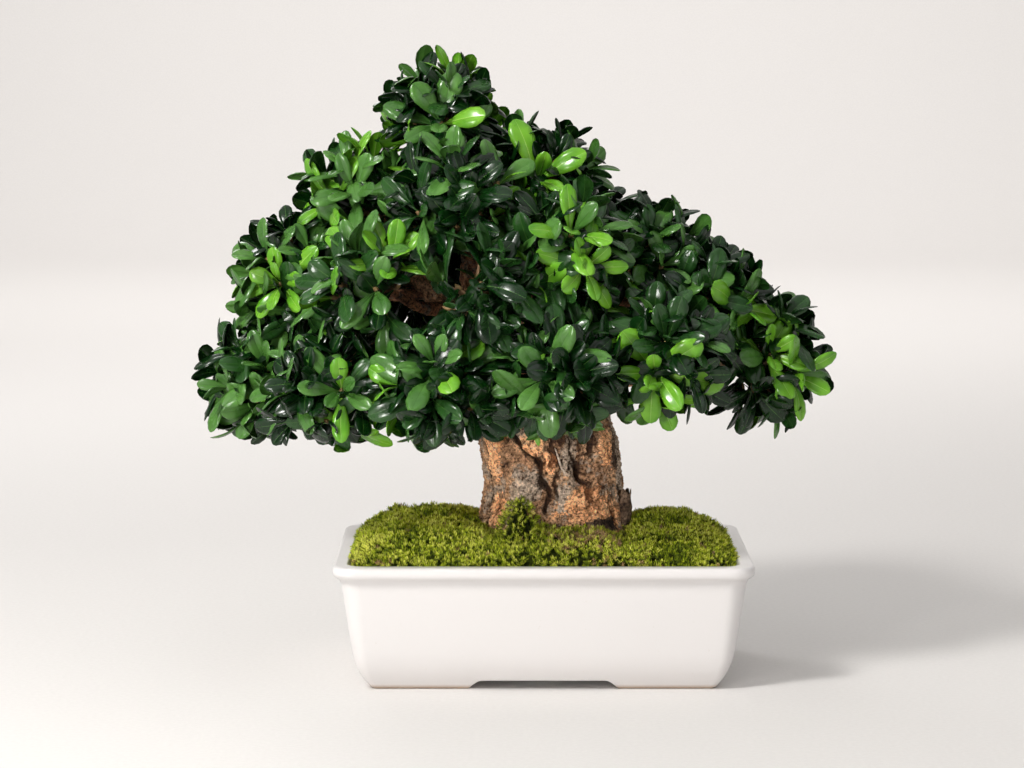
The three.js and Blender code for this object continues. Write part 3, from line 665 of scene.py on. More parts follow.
# Name, centre and half sizes of each mass, what its bough leaves, how far along, its two radii and bow.
MASSES = [
    ("far_left", (-218, 0, 226), (54, 62, 60), "trunk", 0.78, (14, 4.5), (0, 6, 14)),
    ("far_right", (172, 6, 244), (54, 58, 57), "trunk", 0.7, (14, 4.5), (0, -4, -6)),
    ("apex", (-80, 0, 430), (48, 54, 52), "trunk", 0.97, (11, 4), (8, 6, 0)),
    ("upper_left", (-140, 0, 366), (54, 56, 54), "trunk", 0.9, (10, 4), (-6, -8, -8)),
    ("right_upper", (80, -2, 324), (60, 58, 50), "trunk", 0.86, (11, 4.5), (4, 0, 10)),
    ("front_low", (-78, -116, 232), (60, 54, 56), "trunk", 0.76, (10, 4), (6, 0, -10)),
    ("back_low", (-52, 122, 248), (64, 54, 52), "trunk", 0.8, (10, 4), (0, 0, 10)),
    ("left_front_low", (-162, -82, 226), (60, 58, 50), "far_left", 0.34, (7, 3.5), (0, -6, 6)),
    ("left_back_low", (-156, 92, 228), (62, 58, 52), "far_left", 0.4, (7, 3.5), (0, 6, 8)),
    ("left_mid", (-191, -6, 308), (56, 60, 60), "upper_left", 0.5, (5.5, 3), (0, 0, -6)),
    ("front_left", (-128, -88, 304), (58, 52, 54), "upper_left", 0.36, (6, 3.2), (4, 0, -6)),
    ("back_left", (-134, 88, 314), (62, 56, 54), "upper_left", 0.44, (6, 3.2), (6, 0, -6)),
    ("front_upper", (-64, -68, 364), (62, 54, 60), "apex", 0.22, (6, 3.2), (4, 4, -4)),
    ("top_right", (-4, -4, 382), (60, 56, 53), "apex", 0.34, (6, 3.2), (4, 0, -10)),
    ("top_back", (-58, 72, 382), (60, 54, 54), "apex", 0.46, (5.5, 3.2), (0, 4, -6)),
    ("centre_right", (14, -84, 330), (60, 54, 58), "right_upper", 0.38, (6, 3.2), (-4, 4, 4)),
    ("back_right", (36, 86, 326), (66, 56, 54), "right_upper", 0.46, (6, 3.2), (-4, 0, 6)),
    ("front_centre", (-50, -112, 304), (56, 50, 54), "front_low", 0.4, (6, 3.2), (4, 0, 4)),
    ("front_right_low", (8, -116, 244), (58, 52, 52), "front_low", 0.26, (6, 3.2), (4, 0, 0)),
    ("right_front_low", (90, -80, 256), (60, 56, 50), "far_right", 0.4, (6.5, 3.4), (0, 4, -6)),
    ("right_mid", (125, -8, 292), (54, 56, 50), "right_upper", 0.62, (5, 3), (4, 0, -6)),
    ("right_back_low", (108, 86, 262), (62, 58, 52), "far_right", 0.46, (6, 3.2), (-4, 0, -4)),
    ("back_right_low", (30, 122, 256), (60, 54, 50), "back_low", 0.3, (6, 3.2), (0, 6, 0)),
]
# How far from the middle of its mass a bough ends, as a share of the mass, and how far past the
# middle the stem inside it reaches.
BOUGH_END, HUB_PAST = 0.6, 7
BOUGH_STEPS, STEM_STEPS = 26, 8
STEM_TIP = 1.8
# Sides of a main bough that leaves the trunk, and of a side bough.
MAIN_SIDES, SIDE_SIDES = 18, 12
YOUNG_BARK = (
    "young_bark", (0.05, 0.026, 0.016), (0.22, 0.105, 0.058), (0.36, 0.18, 0.10), (0.20, 0.15, 0.12), 0.05,
)


def unit(direction):
    return direction / np.linalg.norm(direction)


def mix(a, b, share):
    return a + (b - a) * share


def across_of(direction):
    """Two directions square to a direction and to each other."""
    side = np.array([0, 0, 1.0]) if abs(direction[2]) < 0.9 else np.array([1.0, 0, 0])
    first = unit(np.cross(side, direction))
    return first, np.cross(direction, first)


class Curve:
    """A line through many points, which can be read at any share of its length."""

    def __init__(self, points):
        self.points = np.asarray(points, float)
        lengths = np.linalg.norm(np.diff(self.points, axis=0), axis=1)
        self.reach = np.concatenate([[0], np.cumsum(lengths)])

    def at(self, share):
        run = np.asarray(share) * self.reach[-1]
        return np.stack([np.interp(run, self.reach, self.points[:, k]) for k in range(3)], axis=-1)

    def spaced(self, steps):
        return self.at(np.linspace(0, 1, steps + 1))


def bend(start, middle, end, steps=60):
    share = np.linspace(0, 1, steps)[:, None]
    return Curve((1 - share) ** 2 * start + 2 * share * (1 - share) * middle + share**2 * end)


class Mass:
    """One mass of leaves: its space, the bough that carries it and the stem inside it."""

    def __init__(self, order, row, lines):
        self.name, centre, size, self.parent, at, self.radii, bow = row
        self.seed = order + 1
        self.centre, self.size = np.array(centre, float), np.array(size, float)
        self.reach = self.size.mean()
        self.outward = unit(self.centre - CROWN_CORE)
        start = lines[self.parent].at(at)
        inward = unit(start - self.centre) * self.size
        end = self.centre + inward * BOUGH_END
        middle = mix(start, end, 0.5) + np.array(bow) * 2.0
        self.line = lines[self.name] = bend(start, middle, end)
        entry, heading = self.line.at(1.0), unit(self.line.at(1.0) - self.line.at(0.75))
        hub = self.centre + self.outward * HUB_PAST
        knee = entry + heading * np.linalg.norm(hub - entry) * 0.5
        self.stem = bend(entry, knee, hub)


lines = {"trunk": Curve([(x, y, z) for z, x, y, _, _ in TRUNK_ROWS])}
masses = [Mass(order, row, lines) for order, row in enumerate(MASSES)]


def frames_along(points):
    """Two directions square to a path at each of its points, which don't twist."""
    steps = np.gradient(points, axis=0)
    along = steps / np.linalg.norm(steps, axis=1)[:, None]
    first, _ = across_of(along[0])
    firsts, seconds = [], []
    for direction in along:
        first = unit(first - direction * first.dot(direction))
        firsts.append(first)
        seconds.append(np.cross(direction, first))
    return np.array(firsts), np.array(seconds)


def tube(points, radii, sides):
    """A round limb along a path, as rings of points and faces with its ends closed."""
    firsts, seconds = frames_along(points)
    turns = (np.arange(sides) * 2 * math.pi / sides)[None, :, None]
    radii = np.asarray(radii, float)[:, None, None]
    out = firsts[:, None, :] * np.cos(turns) + seconds[:, None, :] * np.sin(turns)
    rings = points[:, None, :] + radii * out
    made_points, made_faces = loft([[tuple(point) for point in ring] for ring in rings])
    return np.array(made_points), made_faces


wood = Gathered()
for mass in masses:
    path = np.vstack([mass.line.spaced(BOUGH_STEPS), mass.stem.spaced(STEM_STEPS)[1:]])
    stem_radii = np.linspace(mass.radii[1], STEM_TIP, STEM_STEPS + 1)[1:]
    radii = np.concatenate([np.linspace(*mass.radii, BOUGH_STEPS + 1), stem_radii])
    main = mass.parent == "trunk"
    sides = MAIN_SIDES if main else SIDE_SIDES
    points, faces = tube(path, radii, sides)
    spread = np.repeat(radii, sides)
    out = (points - np.repeat(path, sides, axis=0)) / spread[:, None]
    rise = np.clip(bark_roughness(points * 1.6, 0.6), -1.6, 1.6) * np.clip(spread / 10, 0.12, 1)
    # The bough's bark is darkened where its rise is low, as painted shade in the hollows.
    wood.add(points + out * rise[:, None], faces, 0 if main else 1, np.clip(0.55 + rise * 0.25, 0, 1))
boughs = wood.piece("boughs", [bark_kinds[OLD], bark_material(*YOUNG_BARK)])
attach(boughs, "root")
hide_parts(*(f"bough_{mass.name}" for mass in masses))

# Twigs, buds and leaves
# Each mass grows by the rule of the trunk's own boughs, one step finer: from its stem, twigs wind
# round a golden turn apart, and each ends in a brown bud with a whorl of leathery leaves. A leaf is
# widest past its middle, with a round tip, a pale rib and edges that roll under.
GOLDEN_TURN = math.pi * (3 - math.sqrt(5))
# How far out a leaf may reach, as a share of its mass's half sizes, and how ragged that limit is.
LEAF_REACH, RAGGED = 1.18, 0.26
# How far a leaf may grow past the border with the next mass, how far inside it a twig's tip stays,
# how far both stay off the boughs, and the room left for the trunk's lumps.
LEAF_OVERLAP, TIP_INSIDE = 11.0, 2
LIMB_MARGIN, TIP_MARGIN, LUMP_ROOM = 1.5, 3.5, 8
# How many spots are spread over a shell of the mass, how far out they lie, and the lowest level.
SHELLS = [(18, 0.57, -0.72), (9, 0.32, -0.6)]
LEAF_LENGTH, LEAF_WIDTH = 49.5, 19.0
centres = np.array([mass.centre for mass in masses])
reaches = np.array([mass.reach for mass in masses])
# The boughs in short straight stretches: their starts, runs and radii.
stretches = []
for mass in masses:
    ends = mass.line.spaced(6)
    radii = np.linspace(*mass.radii, 7)
    stretches += zip(ends[:-1], ends[1:], np.maximum(radii[:-1], radii[1:]))
stretch_start, stretch_end, stretch_radius = [np.array(column) for column in zip(*stretches)]
stretch_run = stretch_end - stretch_start
stretch_square = (stretch_run**2).sum(1)


def seeded(seed):
    """Seeded numbers from 0 to 1, the same on every run."""
    state = (seed * 2654435761) & 0xFFFFFFFF
    while True:
        state = (state + 0x6D2B79F5) & 0xFFFFFFFF
        bits = ((state ^ (state >> 15)) * (1 | state)) & 0xFFFFFFFF
        bits = ((bits + (((bits ^ (bits >> 7)) * (61 | bits)) & 0xFFFFFFFF)) ^ bits) & 0xFFFFFFFF
        yield ((bits ^ (bits >> 14)) & 0xFFFFFFFF) / 4294967296


def in_own_space(order, points, margin):
    """Whether points keep to the mass's space and to its side of the border with each neighbour."""
    mass = masses[order]
    offset = points - mass.centre
    ragged_reach = LEAF_REACH + RAGGED * noise.noise(Vector(points[-1]) * 0.06)
    if (np.linalg.norm(offset / mass.size, axis=1) > ragged_reach).any():
        return False
    way = np.delete(centres, order, axis=0) - mass.centre
    apart = np.linalg.norm(way, axis=1)
    border = (apart**2 + mass.reach**2 - np.delete(reaches, order) ** 2) / (2 * apart)
    return bool((offset @ (way / apart[:, None]).T < border - margin).all())


def clear_of_limbs(points, margin):
    """Whether points keep off the trunk and its lumps, and a margin off the boughs."""
    x, y, half_x, half_y = read_rows(TRUNK_ROWS, points[:, 2])
    half_x, half_y = half_x + LUMP_ROOM, half_y + LUMP_ROOM
    near = np.hypot((points[:, 0] - x) / half_x, (points[:, 1] - y) / half_y) < 1
    if (near & (points[:, 2] < TRUNK_TOP + margin)).any():
        return False
    offset = points[:, None, :] - stretch_start[None]
    share = np.clip((offset * stretch_run[None]).sum(2) / stretch_square, 0, 1)
    gap = np.linalg.norm(offset - share[:, :, None] * stretch_run[None], axis=2)
    return bool((gap > stretch_radius + margin).all())


# A leaf's half width along its length, as shares of its own, from its stalk to its round tip, then
# its columns of points, the two in the middle on its rib, and how high each column lies.
LEAF_SHARES = np.array([0.0, 0.12, 0.30, 0.50, 0.68, 0.84, 0.955, 1.0])
LEAF_WIDTHS = np.array([0.075, 0.13, 0.42, 0.78, 0.99, 0.93, 0.55, 0.13])
LEAF_COLUMNS = np.array([-1.0, -0.91, -0.5, -0.055, 0.055, 0.5, 0.91, 1.0])
LEAF_RISE = np.array([-0.24, -0.05, 0.13, 0.0, 0.0, 0.13, -0.05, -0.24])
RIB_HALF = 0.42


def leaf_points(root, along, up, length, width, droop, sway, fold):
    """Rows of points of one leaf. Droop bends it down along its length and sway to one side."""
    side = np.cross(up, along)
    share = LEAF_SHARES[:, None]
    half = width / 2 * LEAF_WIDTHS[:, None]
    columns = LEAF_COLUMNS[None, :]
    rib = np.sign(columns) * RIB_HALF * (1.15 - share)
    sideways = np.where(np.abs(columns) < 0.1, rib, columns * half) + sway * length * share**2
    rise = LEAF_RISE[None, :] * half + fold * half * np.abs(columns)
    rise = rise + length * (0.05 * np.sin(share * math.pi) - droop * share**2.2)
    forward = length * share * (1 - 0.28 * droop * share)
    flat = root + forward[:, :, None] * along + sideways[:, :, None] * side
    return (flat + rise[:, :, None] * up).reshape(-1, 3)


rows, across = len(LEAF_SHARES), len(LEAF_COLUMNS)
LEAF_FACES = [
    (r * across + c, r * across + c + 1, (r + 1) * across + c + 1, (r + 1) * across + c)
    for r in range(rows - 1)
    for c in range(across - 1)
]
LEAF_FACE_RIB = [c == across // 2 - 1 for _ in range(rows - 1) for c in range(across - 1)]
# The points of a leaf that have to fit: both edges at two rows, and its tip.
LEAF_TEST = [3 * across, 4 * across - 1, 5 * across, 6 * across - 1, -1]

# Leaf tones: name, dark colour, light colour, gloss as roughness, and how often a spray has it.
LEAF_TONES = [
    # The deepest, near black tone is a dark tone among the outer sprays and painted shade for the inner
    # shell and the deep shoots.
    ("leaf_deep_and_shade", (0.001, 0.010, 0.001), (0.003, 0.026, 0.003), 0.28, 0.28),
    ("leaf_dark", (0.008, 0.036, 0.006), (0.021, 0.076, 0.013), 0.28, 0.34),
    ("leaf_mid", (0.036, 0.112, 0.018), (0.084, 0.212, 0.038), 0.28, 0.28),
    ("leaf_fresh", (0.070, 0.235, 0.010), (0.160, 0.390, 0.026), 0.30, 0.10),
]
# Masses where more of the sprays are young and bright.
YOUNG_MASSES = {
    "far_right": 0.34, "right_front_low": 0.34, "right_mid": 0.22, "top_right": 0.30, "front_left": 0.10,
    "left_mid": 0.08, "apex": 0.10, "centre_right": 0.12, "upper_left": 0.02,
}
YOUNG_ELSEWHERE = 0.05
# Where the crown is open in front, so that the limbs in it show: the middle of each gap, its radius,
# and how much a gap falls towards the back for each millimetre.
GAPS = [((-93, -84, 296), 16), ((-62, -84, 320), 11)]
GAP_FALL = 0.108
# The lowest level of the leaves, how ragged it is, and how much it rises towards the front.
UNDERSIDE, UNDERSIDE_RAGGED, UNDERSIDE_RISE = 180.0, 12, 0.107
# Tips of the shoots that grow straight from the limbs, deep in the crown.
DEEP_SHOOTS = [
    (-62, 50, 312), (-38, 52, 318), (-86, 44, 300), (-100, 50, 284), (-70, 58, 334), (-52, 66, 298),
    (-98, 58, 312), (-112, 34, 288), (-30, 40, 300), (-80, 66, 288), (-56, 34, 326), (-104, 26, 304),
]
DEEP_LEAVES = 10


def leaf_material(name, dark, light, rough):
    """Leathery leaf: two greens in soft clouds, glossy, and a little uneven in its gloss."""
    material, tree, shader = nodes_of(name)
    place = coordinates_of(tree)
    shade = ramp(tree, noise_of(tree, place, 48, 2), [(0.3, dark), (0.7, light)])
    finish_with(tree, shader, shade, Specular_IOR_Level=0.20, Coat_Weight=0.42, Coat_Roughness=0.15)
    gloss_ends = [(0.3, (rough - 0.05,) * 3), (0.7, (rough + 0.08,) * 3)]
    tree.links.new(ramp(tree, noise_of(tree, place, 150, 2), gloss_ends), shader.inputs["Roughness"])
    bump(tree, shader, noise_of(tree, place, 260, 3), 0.22, 0.0009)
    return material


# Ribs: name, dark colour, light colour, and gloss. Then which rib each tone has.
RIBS = [
    ("rib_dark", (0.026, 0.090, 0.014), (0.060, 0.140, 0.026), 0.34),
    ("rib_fresh", (0.22, 0.42, 0.07), (0.34, 0.52, 0.12), 0.36),
]
RIB_OF_TONE = [4, 4, 4, 5]
leaf_materials = [leaf_material(*row[:4]) for row in LEAF_TONES + RIBS]
TONE_STEPS = np.cumsum([tone[4] for tone in LEAF_TONES])
FRESHEST = len(LEAF_TONES) - 1


def in_gap(points):
    """Whether any of the points lies in a gap, which runs back from the front as the eye looks in."""
    for middle, radius in GAPS:
        fall = (points[:, 1] - middle[1]) * GAP_FALL
        away = np.hypot(points[:, 0] - middle[0], points[:, 2] - middle[2] + fall)
        if ((away < radius) & (points[:, 1] < middle[1] + 4)).any():
            return True
    return False


twig_wood = Gathered()
bud_wood = Gathered()
leaf_groups = {}
MASSES_IN_PIECE = 6
LEAF_SEED, DEEP_SEED = 500, 77
# Twigs leave the stem from near its end, as a share of it, back over a span of it.
FIRST_FORK, FORK_SPAN = 0.95, 0.72
# How much a twig's end turns out of its mass, out of the crown, and up.
TURN_OUT, TURN_FROM_CROWN, TURN_UP = 0.35, 0.30, 0.22
# The least leaves of a spray, and how many counts above it there are.
LEAST_LEAVES, MORE_LEAVES = 7, 4
# Leaves from the outermost of a spray to the innermost: how far the first opens and how much less
# the last, in degrees, how much shorter and narrower the last is, and how far down the twig they sit.
OPENING, CLOSING = 70, 54
SHORTER, NARROWER = 0.30, 0.26
SEAT_DOWN = 6.0
# A leaf that doesn't fit is tried smaller, and left out if it still doesn't.
LEAF_TRIES = (1.0, 0.86, 0.72)
# Share of the leaves in a spray that are one tone fresher than the rest, and one tone darker.
FRESHER, DARKER = 0.12, 0.14
TWIG_RADII, TWIG_SIDES = np.linspace(1.9, 1.25, 5), 5
# A bud along its twig: how far from the twig's tip, and its radius there.
BUD_ROWS = [(-4.5, 1.6), (-1.5, 2.3), (1.2, 1.9), (3.2, 0.4)]
BUD_SIDES = 6


def grow_spray(group, random, fork, tip, axis, tone, leaves, fits):
    """A twig from fork to tip with its bud and its whorl of leaves, the outer ones opened widest."""
    radial_one, radial_two = across_of(axis)
    start_turn = next(random) * 2 * math.pi
    scale = 0.76 + 0.30 * next(random)
    spread = OPENING + 16 * next(random)
    grown = 0
    for leaf in range(leaves):
        azimuth = start_turn + leaf * GOLDEN_TURN
        inner = leaf / (leaves - 1)
        open_angle = math.radians(spread - CLOSING * inner + 18 * (next(random) - 0.5))
        length = LEAF_LENGTH * scale * (1 - SHORTER * inner) * (0.86 + 0.24 * next(random))
        width = LEAF_WIDTH * scale * (1 - NARROWER * inner) * (0.80 + 0.34 * next(random))
        droop = 0.02 + 0.30 * next(random) * (1 - 0.6 * inner)
        sway = 0.16 * (next(random) - 0.5)
        fold = 0.08 * next(random) + 0.22 * inner
        own_tone = next(random)
        radial = radial_one * math.cos(azimuth) + radial_two * math.sin(azimuth)
        along = axis * math.cos(open_angle) + radial * math.sin(open_angle)
        up = axis * math.sin(open_angle) - radial * math.cos(open_angle)
        root = tip - axis * (SEAT_DOWN * (1 - inner) + 0.5) + radial * 0.8
        for share in LEAF_TRIES:
            points = leaf_points(root, along, up, length * share, width * share, droop, sway, fold)
            test = points[LEAF_TEST]
            if fits(test) and clear_of_limbs(test, LIMB_MARGIN):
                break
        else:
            continue
        if in_gap(test):
            continue
        leaf_tone = tone
        if tone > 0 and own_tone < FRESHER:
            leaf_tone = min(tone + 1, FRESHEST)
        elif own_tone > 1 - DARKER:
            leaf_tone = max(tone - 1, 0)
        kinds = [RIB_OF_TONE[leaf_tone] if rib else leaf_tone for rib in LEAF_FACE_RIB]
        group.add(points, LEAF_FACES, kinds)
        grown += 1
    if not grown:
        return
    back_along = tip - axis * np.linalg.norm(tip - fork) * 0.45
    middle = mix(mix(fork, tip, 0.55), back_along, 0.5)
    twig_path = bend(fork, middle, tip).spaced(len(TWIG_RADII) - 1)
    twig_wood.add(*tube(twig_path, TWIG_RADII, TWIG_SIDES), 0)
    bud_path = np.array([tip + axis * along for along, _ in BUD_ROWS])
    bud_wood.add(*tube(bud_path, [radius for _, radius in BUD_ROWS], BUD_SIDES), 0)


def above_underside(points):
    """The crown is nearly level underneath, and a little higher in front, as if clipped."""
    x, y, _ = points[-1]
    ragged_edge = UNDERSIDE_RAGGED * noise.noise(Vector((x, y, 40)) * 0.035)
    return bool((points[:, 2] > UNDERSIDE + ragged_edge + UNDERSIDE_RISE * max(-y, 0)).all())


for order, mass in enumerate(masses):
    random = seeded(mass.seed + LEAF_SEED)
    group = leaf_groups.setdefault(order // MASSES_IN_PIECE, Gathered())
    first, second = across_of(mass.outward)
    young = YOUNG_MASSES.get(mass.name, YOUNG_ELSEWHERE)

    def fits(points):
        return in_own_space(order, points, -LEAF_OVERLAP) and above_underside(points)

    for count, shell, lowest in SHELLS:
        for spot in range(count):
            level = 1 - (spot + 0.5) * 2 / count
            turn = spot * GOLDEN_TURN + mass.seed + shell
            level_now = min(max(level + 0.10 * (next(random) - 0.5), -0.98), 0.98)
            round_now = math.sqrt(1 - level_now * level_now)
            reach = shell * (0.84 + 0.26 * next(random))
            tone_draw = next(random)
            leaves = LEAST_LEAVES + int(next(random) * MORE_LEAVES)
            if level < lowest:
                continue
            way = mass.outward * level_now + first * round_now * math.cos(turn)
            way = way + second * round_now * math.sin(turn)
            tip = mass.centre + way * mass.size * reach
            tip_row = tip[None]
            if not (in_own_space(order, tip_row, TIP_INSIDE) and clear_of_limbs(tip_row, TIP_MARGIN)):
                continue
            if in_gap(tip_row) or not above_underside(tip_row):
                continue
            fork = mass.stem.at(FIRST_FORK - FORK_SPAN * spot / count)
            axis = unit(tip - fork) + TURN_OUT * way + TURN_FROM_CROWN * mass.outward
            axis = unit(axis + np.array([0, 0, TURN_UP]))
            # Sprays of the inner shell all take the deepest tone: painted shade inside the crown.
            if shell < 0.5:
                tone = 0
            elif tone_draw > 1 - young:
                tone = FRESHEST
            else:
                tone = min(int(np.searchsorted(TONE_STEPS, tone_draw)), 2)
            grow_spray(group, random, fork, tip, axis, tone, leaves, fits)

# The shoots deep in the crown, where no mass reaches. They take the deepest tone, as painted shade.
random = seeded(DEEP_SEED)
for tip in np.array(DEEP_SHOOTS, float):
    offset = tip - stretch_start
    share = np.clip((offset * stretch_run).sum(1) / stretch_square, 0, 1)
    nearest = stretch_start + share[:, None] * stretch_run
    fork = nearest[np.linalg.norm(tip - nearest, axis=1).argmin()]
    axis = unit(unit(tip - fork) + np.array([0, 0, 0.3]))
    grow_spray(leaf_groups[0], random, fork, tip, axis, 0, DEEP_LEAVES, above_underside)

TWIG_BROWNS = [(0.3, (0.085, 0.045, 0.022)), (0.7, (0.24, 0.14, 0.065))]
twig_bark = grained("twig_bark", (120, 3), TWIG_BROWNS, (700, 3), (0.5, 0.0006), Roughness=0.8)
twigs = twig_wood.piece("twigs", [twig_bark])
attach(twigs, "root")

BUD_BROWNS = [(0.3, (0.14, 0.075, 0.028)), (0.7, (0.36, 0.24, 0.10))]
bud_skin = grained("bud_skin", (300, 3), BUD_BROWNS, (900, 2), (0.4, 0.0005), Roughness=0.6)
buds = bud_wood.piece("buds", [bud_skin])
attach(buds, "root")

for number, group in leaf_groups.items():
    leaves = group.piece(f"leaves_{number + 1}", leaf_materials)
    own_masses = masses[number * MASSES_IN_PIECE :][:MASSES_IN_PIECE]
    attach(leaves, "root")
    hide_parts(*(f"foliage_{mass.name}" for mass in own_masses))

# Moss
# Cushion moss in soft mounds that meet round the trunk and climb the bark in front, laid on the soil
# out to the pot's wall. It is a dark mat, partly the moss's own dark base and partly painted shade
# between the shoots, with a pile of short upright shoots, each a little star of narrow leaves, from
# deep green to yellow.

# Centre, half sizes and crest of each mound, then how square a mound is in plan and in section.
CUSHIONS = [
    ((-84, 2), (71, 102), 37), ((96, 4), (57, 101), 33), ((8, -56), (90, 48), 31), ((8, 56), (90, 48), 32),
    ((-19, -53), (13.5, 27), 52), ((38, -66), (24, 30), 31),
]
CUSHION_CORNER = 3.3
CUSHION_ROUND = 1.72
# Height of the moss at the pot's wall, and how fast it may rise from there.
WALL_LEVEL, WALL_SLOPE = 8.6, 1.7
# Height above the soil below which the moss loses its lumps, and how far the mat lies below the tips.
LUMPY_FROM, MAT_DOWN = 14, 4.0
MAT_COLUMNS, MAT_ROWS = 150, 104
# The pot's mouth at the soil: radius of its corners, and how far the moss stays clear of its wall.
MOUTH_CORNER, MOUTH_CLEAR = 14.0, 0.6
mouth = inner_inset(GROUND) + MOUTH_CLEAR
mouth_x, mouth_y = POT_WIDTH / 2 - mouth, POT_DEPTH / 2 - mouth


def wall_gap(x, y):
    """How far places lie inside the pot's wall with its round corners, up to the corners' radius."""
    past_x = np.maximum(np.abs(x) - (mouth_x - MOUTH_CORNER), 0)
    past_y = np.maximum(np.abs(y) - (mouth_y - MOUTH_CORNER), 0)
    return MOUTH_CORNER - np.hypot(past_x, past_y)


def moss_height(x, y):
    """The top of the moss at arrays of places, above the soil: it falls to the pot's wall."""
    top = np.zeros_like(x)
    for centre, half, crest in CUSHIONS:
        u = np.abs((x - centre[0]) / half[0])
        v = np.abs((y - centre[1]) / half[1])
        out = (u**CUSHION_CORNER + v**CUSHION_CORNER) ** (1 / CUSHION_CORNER)
        level = (1 - np.clip(out, 0, 1) ** CUSHION_ROUND) ** (1 / CUSHION_ROUND)
        top = np.maximum(top, crest * level)
    wall = wall_gap(x, y)
    return np.where(wall < MOUTH_CORNER, np.minimum(top, WALL_LEVEL + WALL_SLOPE * wall), top)


def moss_lump(x, y):
    """How far a place stands out or lies back from the smooth mound."""
    broad = noise.fractal(Vector((x, y, 3.0)) * 0.042, 0.6, 2.0, 2)
    return 4.6 * broad + 1.2 * noise.noise(Vector((x, y, 9.0)) * 0.19)


grid_x = np.linspace(-mouth_x, mouth_x, MAT_COLUMNS)
grid_y = np.linspace(-mouth_y, mouth_y, MAT_ROWS)
moss_x, moss_y = np.meshgrid(grid_x, grid_y, indexing="ij")
lumps = np.array([moss_lump(x, y) for x, y in zip(moss_x.ravel(), moss_y.ravel())]).reshape(moss_x.shape)
moss_top = moss_height(moss_x, moss_y)
lift = lumps * np.clip(moss_top / LUMPY_FROM, 0, 1)
mat_top = np.maximum(moss_top - MAT_DOWN + lift, 0.5)
mat_points = np.stack([moss_x, moss_y, GROUND + mat_top], axis=-1).reshape(-1, 3)
mat_faces = []
for i in range(MAT_COLUMNS - 1):
    for j in range(MAT_ROWS - 1):
        corner = i * MAT_ROWS + j
        if wall_gap((grid_x[i] + grid_x[i + 1]) / 2, (grid_y[j] + grid_y[j + 1]) / 2) > 0:
            mat_faces.append((corner, corner + MAT_ROWS, corner + MAT_ROWS + 1, corner + 1))
# The mat is near black: partly the moss's own dark base, partly painted shade in the gaps between the
# shoots.
MAT_TINTS_AND_SHADE = [(0.32, (0.006, 0.007, 0.001)), (0.5, (0.020, 0.028, 0.002)), (0.7, (0.060, 0.075, 0.006))]
MAT_GRAIN, MAT_GRIT = (210, 4, 0.7), (520, 4, 0.7)
moss_mat = grained(
    "moss_mat", MAT_GRAIN, MAT_TINTS_AND_SHADE, MAT_GRIT, (1.0, 0.004), Roughness=0.95, Specular_IOR_Level=0.15
)
mat = piece_of("moss_bed", metres(mat_points), mat_faces, [moss_mat])
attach(mat, "root")
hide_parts("moss_left", "moss_right", "moss_front", "moss_back")

# Shoots: name of the finish, its darker and its lighter colour, and the lowest paleness, partly painted
# light, at which a shoot takes the tone.
SHOOT_TONES = [
    ("shoot_dark", (0.040, 0.058, 0.002), (0.110, 0.150, 0.006), 0.0),
    ("shoot_green", (0.185, 0.270, 0.004), (0.330, 0.415, 0.011), 0.26),
    ("shoot_bright", (0.400, 0.485, 0.012), (0.610, 0.675, 0.046), 0.52),
    ("shoot_yellow", (0.600, 0.630, 0.048), (0.860, 0.850, 0.175), 0.86),
    ("shoot_dry", (0.240, 0.130, 0.055), (0.520, 0.340, 0.160), None),
]
YELLOW, DRY = 3, 4
shoot_materials = [
    grained(name, (240, 3), [(0.32, low), (0.68, high)], Roughness=0.55, Specular_IOR_Level=0.3)
    for name, low, high, _ in SHOOT_TONES
]
SHOOTS, SHOOT_SEED = 15500, 17
SHOOT_LEAVES = 6
# How far a shoot stays off the pot's wall, and over what distance the moss's slope is measured.
WALL_CLEAR, SLOPE_STEP = 0.3, 1.5
# A shoot's foot below the moss's top, its least height and the most that is added.
FOOT_DOWN, SHOOT_TALL, TALLER = 6.0, 3.4, 5.2
BLADE_HALF = 0.40
# Share of the shoots that are dry anywhere, and the most that is added in a dry place.
DRY_SHARE, DRY_MORE = 0.012, 0.6
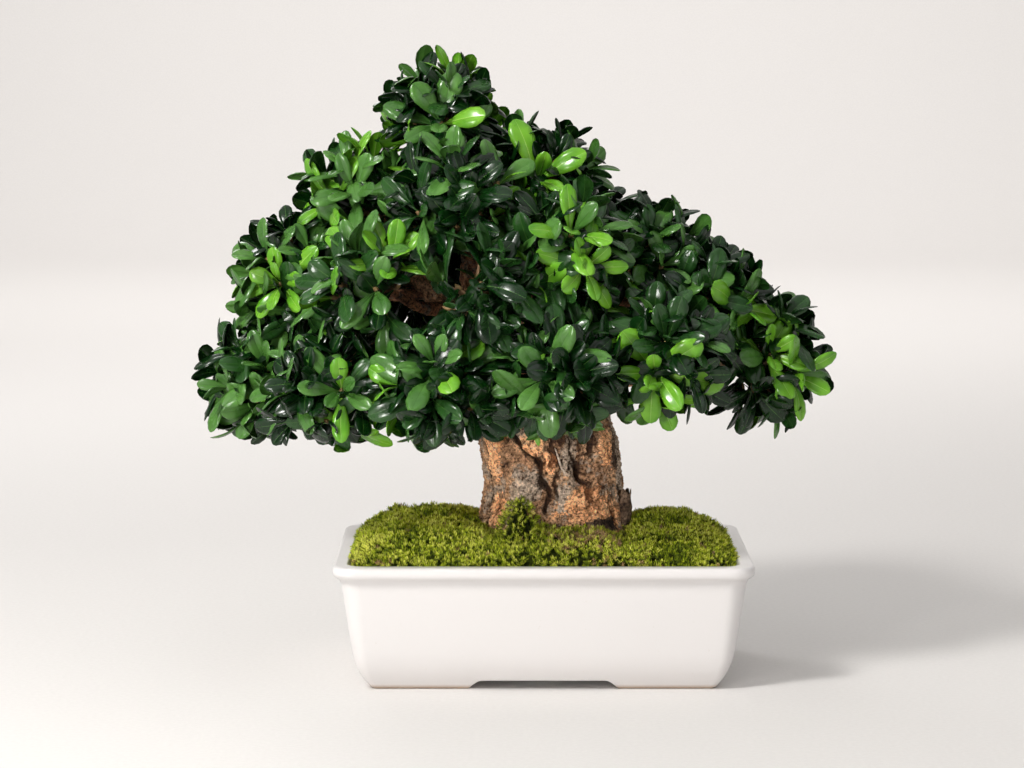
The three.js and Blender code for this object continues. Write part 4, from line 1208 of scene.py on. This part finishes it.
# Where dry brown stems and crumbs lie among the shoots: centre and half sizes.
DRY_PLACES = [((32, -72), (26, 10)), ((-134, -92), (14, 7)), ((66, -98), (22, 5)), ((132, -92), (8, 9))]
random = np.random.default_rng(SHOOT_SEED)
piles = [Gathered(), Gathered()]
placed = 0
while placed < SHOOTS:
    x = random.uniform(-mouth_x, mouth_x)
    y = random.uniform(-mouth_y, mouth_y)
    draws = random.random(8)
    if wall_gap(x, y) < WALL_CLEAR:
        continue
    tops = moss_height(np.array([x, x + SLOPE_STEP, x]), np.array([y, y, y + SLOPE_STEP]))
    top = float(tops[0])
    slope_x, slope_y = (tops[1:] - top) / SLOPE_STEP
    z = GROUND + top
    trunk_x, trunk_y, half_x, half_y = read_rows(TRUNK_ROWS, z)
    if math.hypot((x - trunk_x) / (half_x - 1), (y - trunk_y) / (half_y - 1)) < 1:
        continue
    base = np.array([x, y, z - FOOT_DOWN + moss_lump(x, y) * min(top / LUMPY_FROM, 1)])
    lean = unit(np.array([-slope_x * 0.6, -slope_y * 0.6, 1.0]))
    lean = unit(lean + np.array([draws[0] - 0.5, draws[1] - 0.5, 0]) * 0.8)
    crown = base + lean * (SHOOT_TALL + TALLER * draws[2])
    first, second = across_of(lean)
    spin = draws[3] * 2 * math.pi
    corners, shoot_faces = [], []
    for blade in range(SHOOT_LEAVES):
        angle = spin + blade * GOLDEN_TURN
        out = first * math.cos(angle) + second * math.sin(angle)
        side = np.cross(lean, out)
        open_share = 1.15 - 0.15 * blade
        foot = crown - lean * (2.2 - 0.36 * blade)
        reach = 3.1 - 0.14 * blade + 1.1 * draws[4]
        belly = foot + unit(out * open_share + lean * 0.75) * reach * 0.5
        end = foot + unit(out * open_share + lean * 1.15) * reach
        count = len(corners)
        corners += [foot, belly - side * BLADE_HALF, end, belly + side * BLADE_HALF]
        shoot_faces += [(count, count + 1, count + 2), (count, count + 2, count + 3)]
    # Shoots are paler in soft patches and at random, and paler on the left side, which is painted light from
    # the lamps at the left.
    pale_and_lit = 0.50 + 0.75 * noise.noise(Vector((x, y, 30)) * 0.035)
    pale_and_lit = pale_and_lit + 0.75 * (draws[5] - 0.5) + 0.09 * (x < -20)
    kind = sum(pale_and_lit >= tone[3] for tone in SHOOT_TONES[1:DRY])
    dry = DRY_SHARE
    for middle, half in DRY_PLACES:
        away = ((x - middle[0]) / half[0]) ** 2 + ((y - middle[1]) / half[1]) ** 2
        dry += DRY_MORE * math.exp(-away)
    if draws[6] < dry:
        kind = DRY
    # The lowest leaves of each shoot take the darkest tone and the top ones a lighter one: partly the moss's
    # own paler tips, partly painted shade and light.
    low_kind, top_kind = (DRY, DRY) if kind == DRY else (0, min(kind + 1, YELLOW))
    kinds = [low_kind] * 4 + [kind] * 4 + [top_kind] * 4
    piles[int(y > 0)].add(np.array(corners), shoot_faces, kinds)
    placed += 1
for name, pile in zip(("moss_shoots_front", "moss_shoots_back"), piles):
    shoots = pile.piece(name, shoot_materials, False)
    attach(shoots, "root")
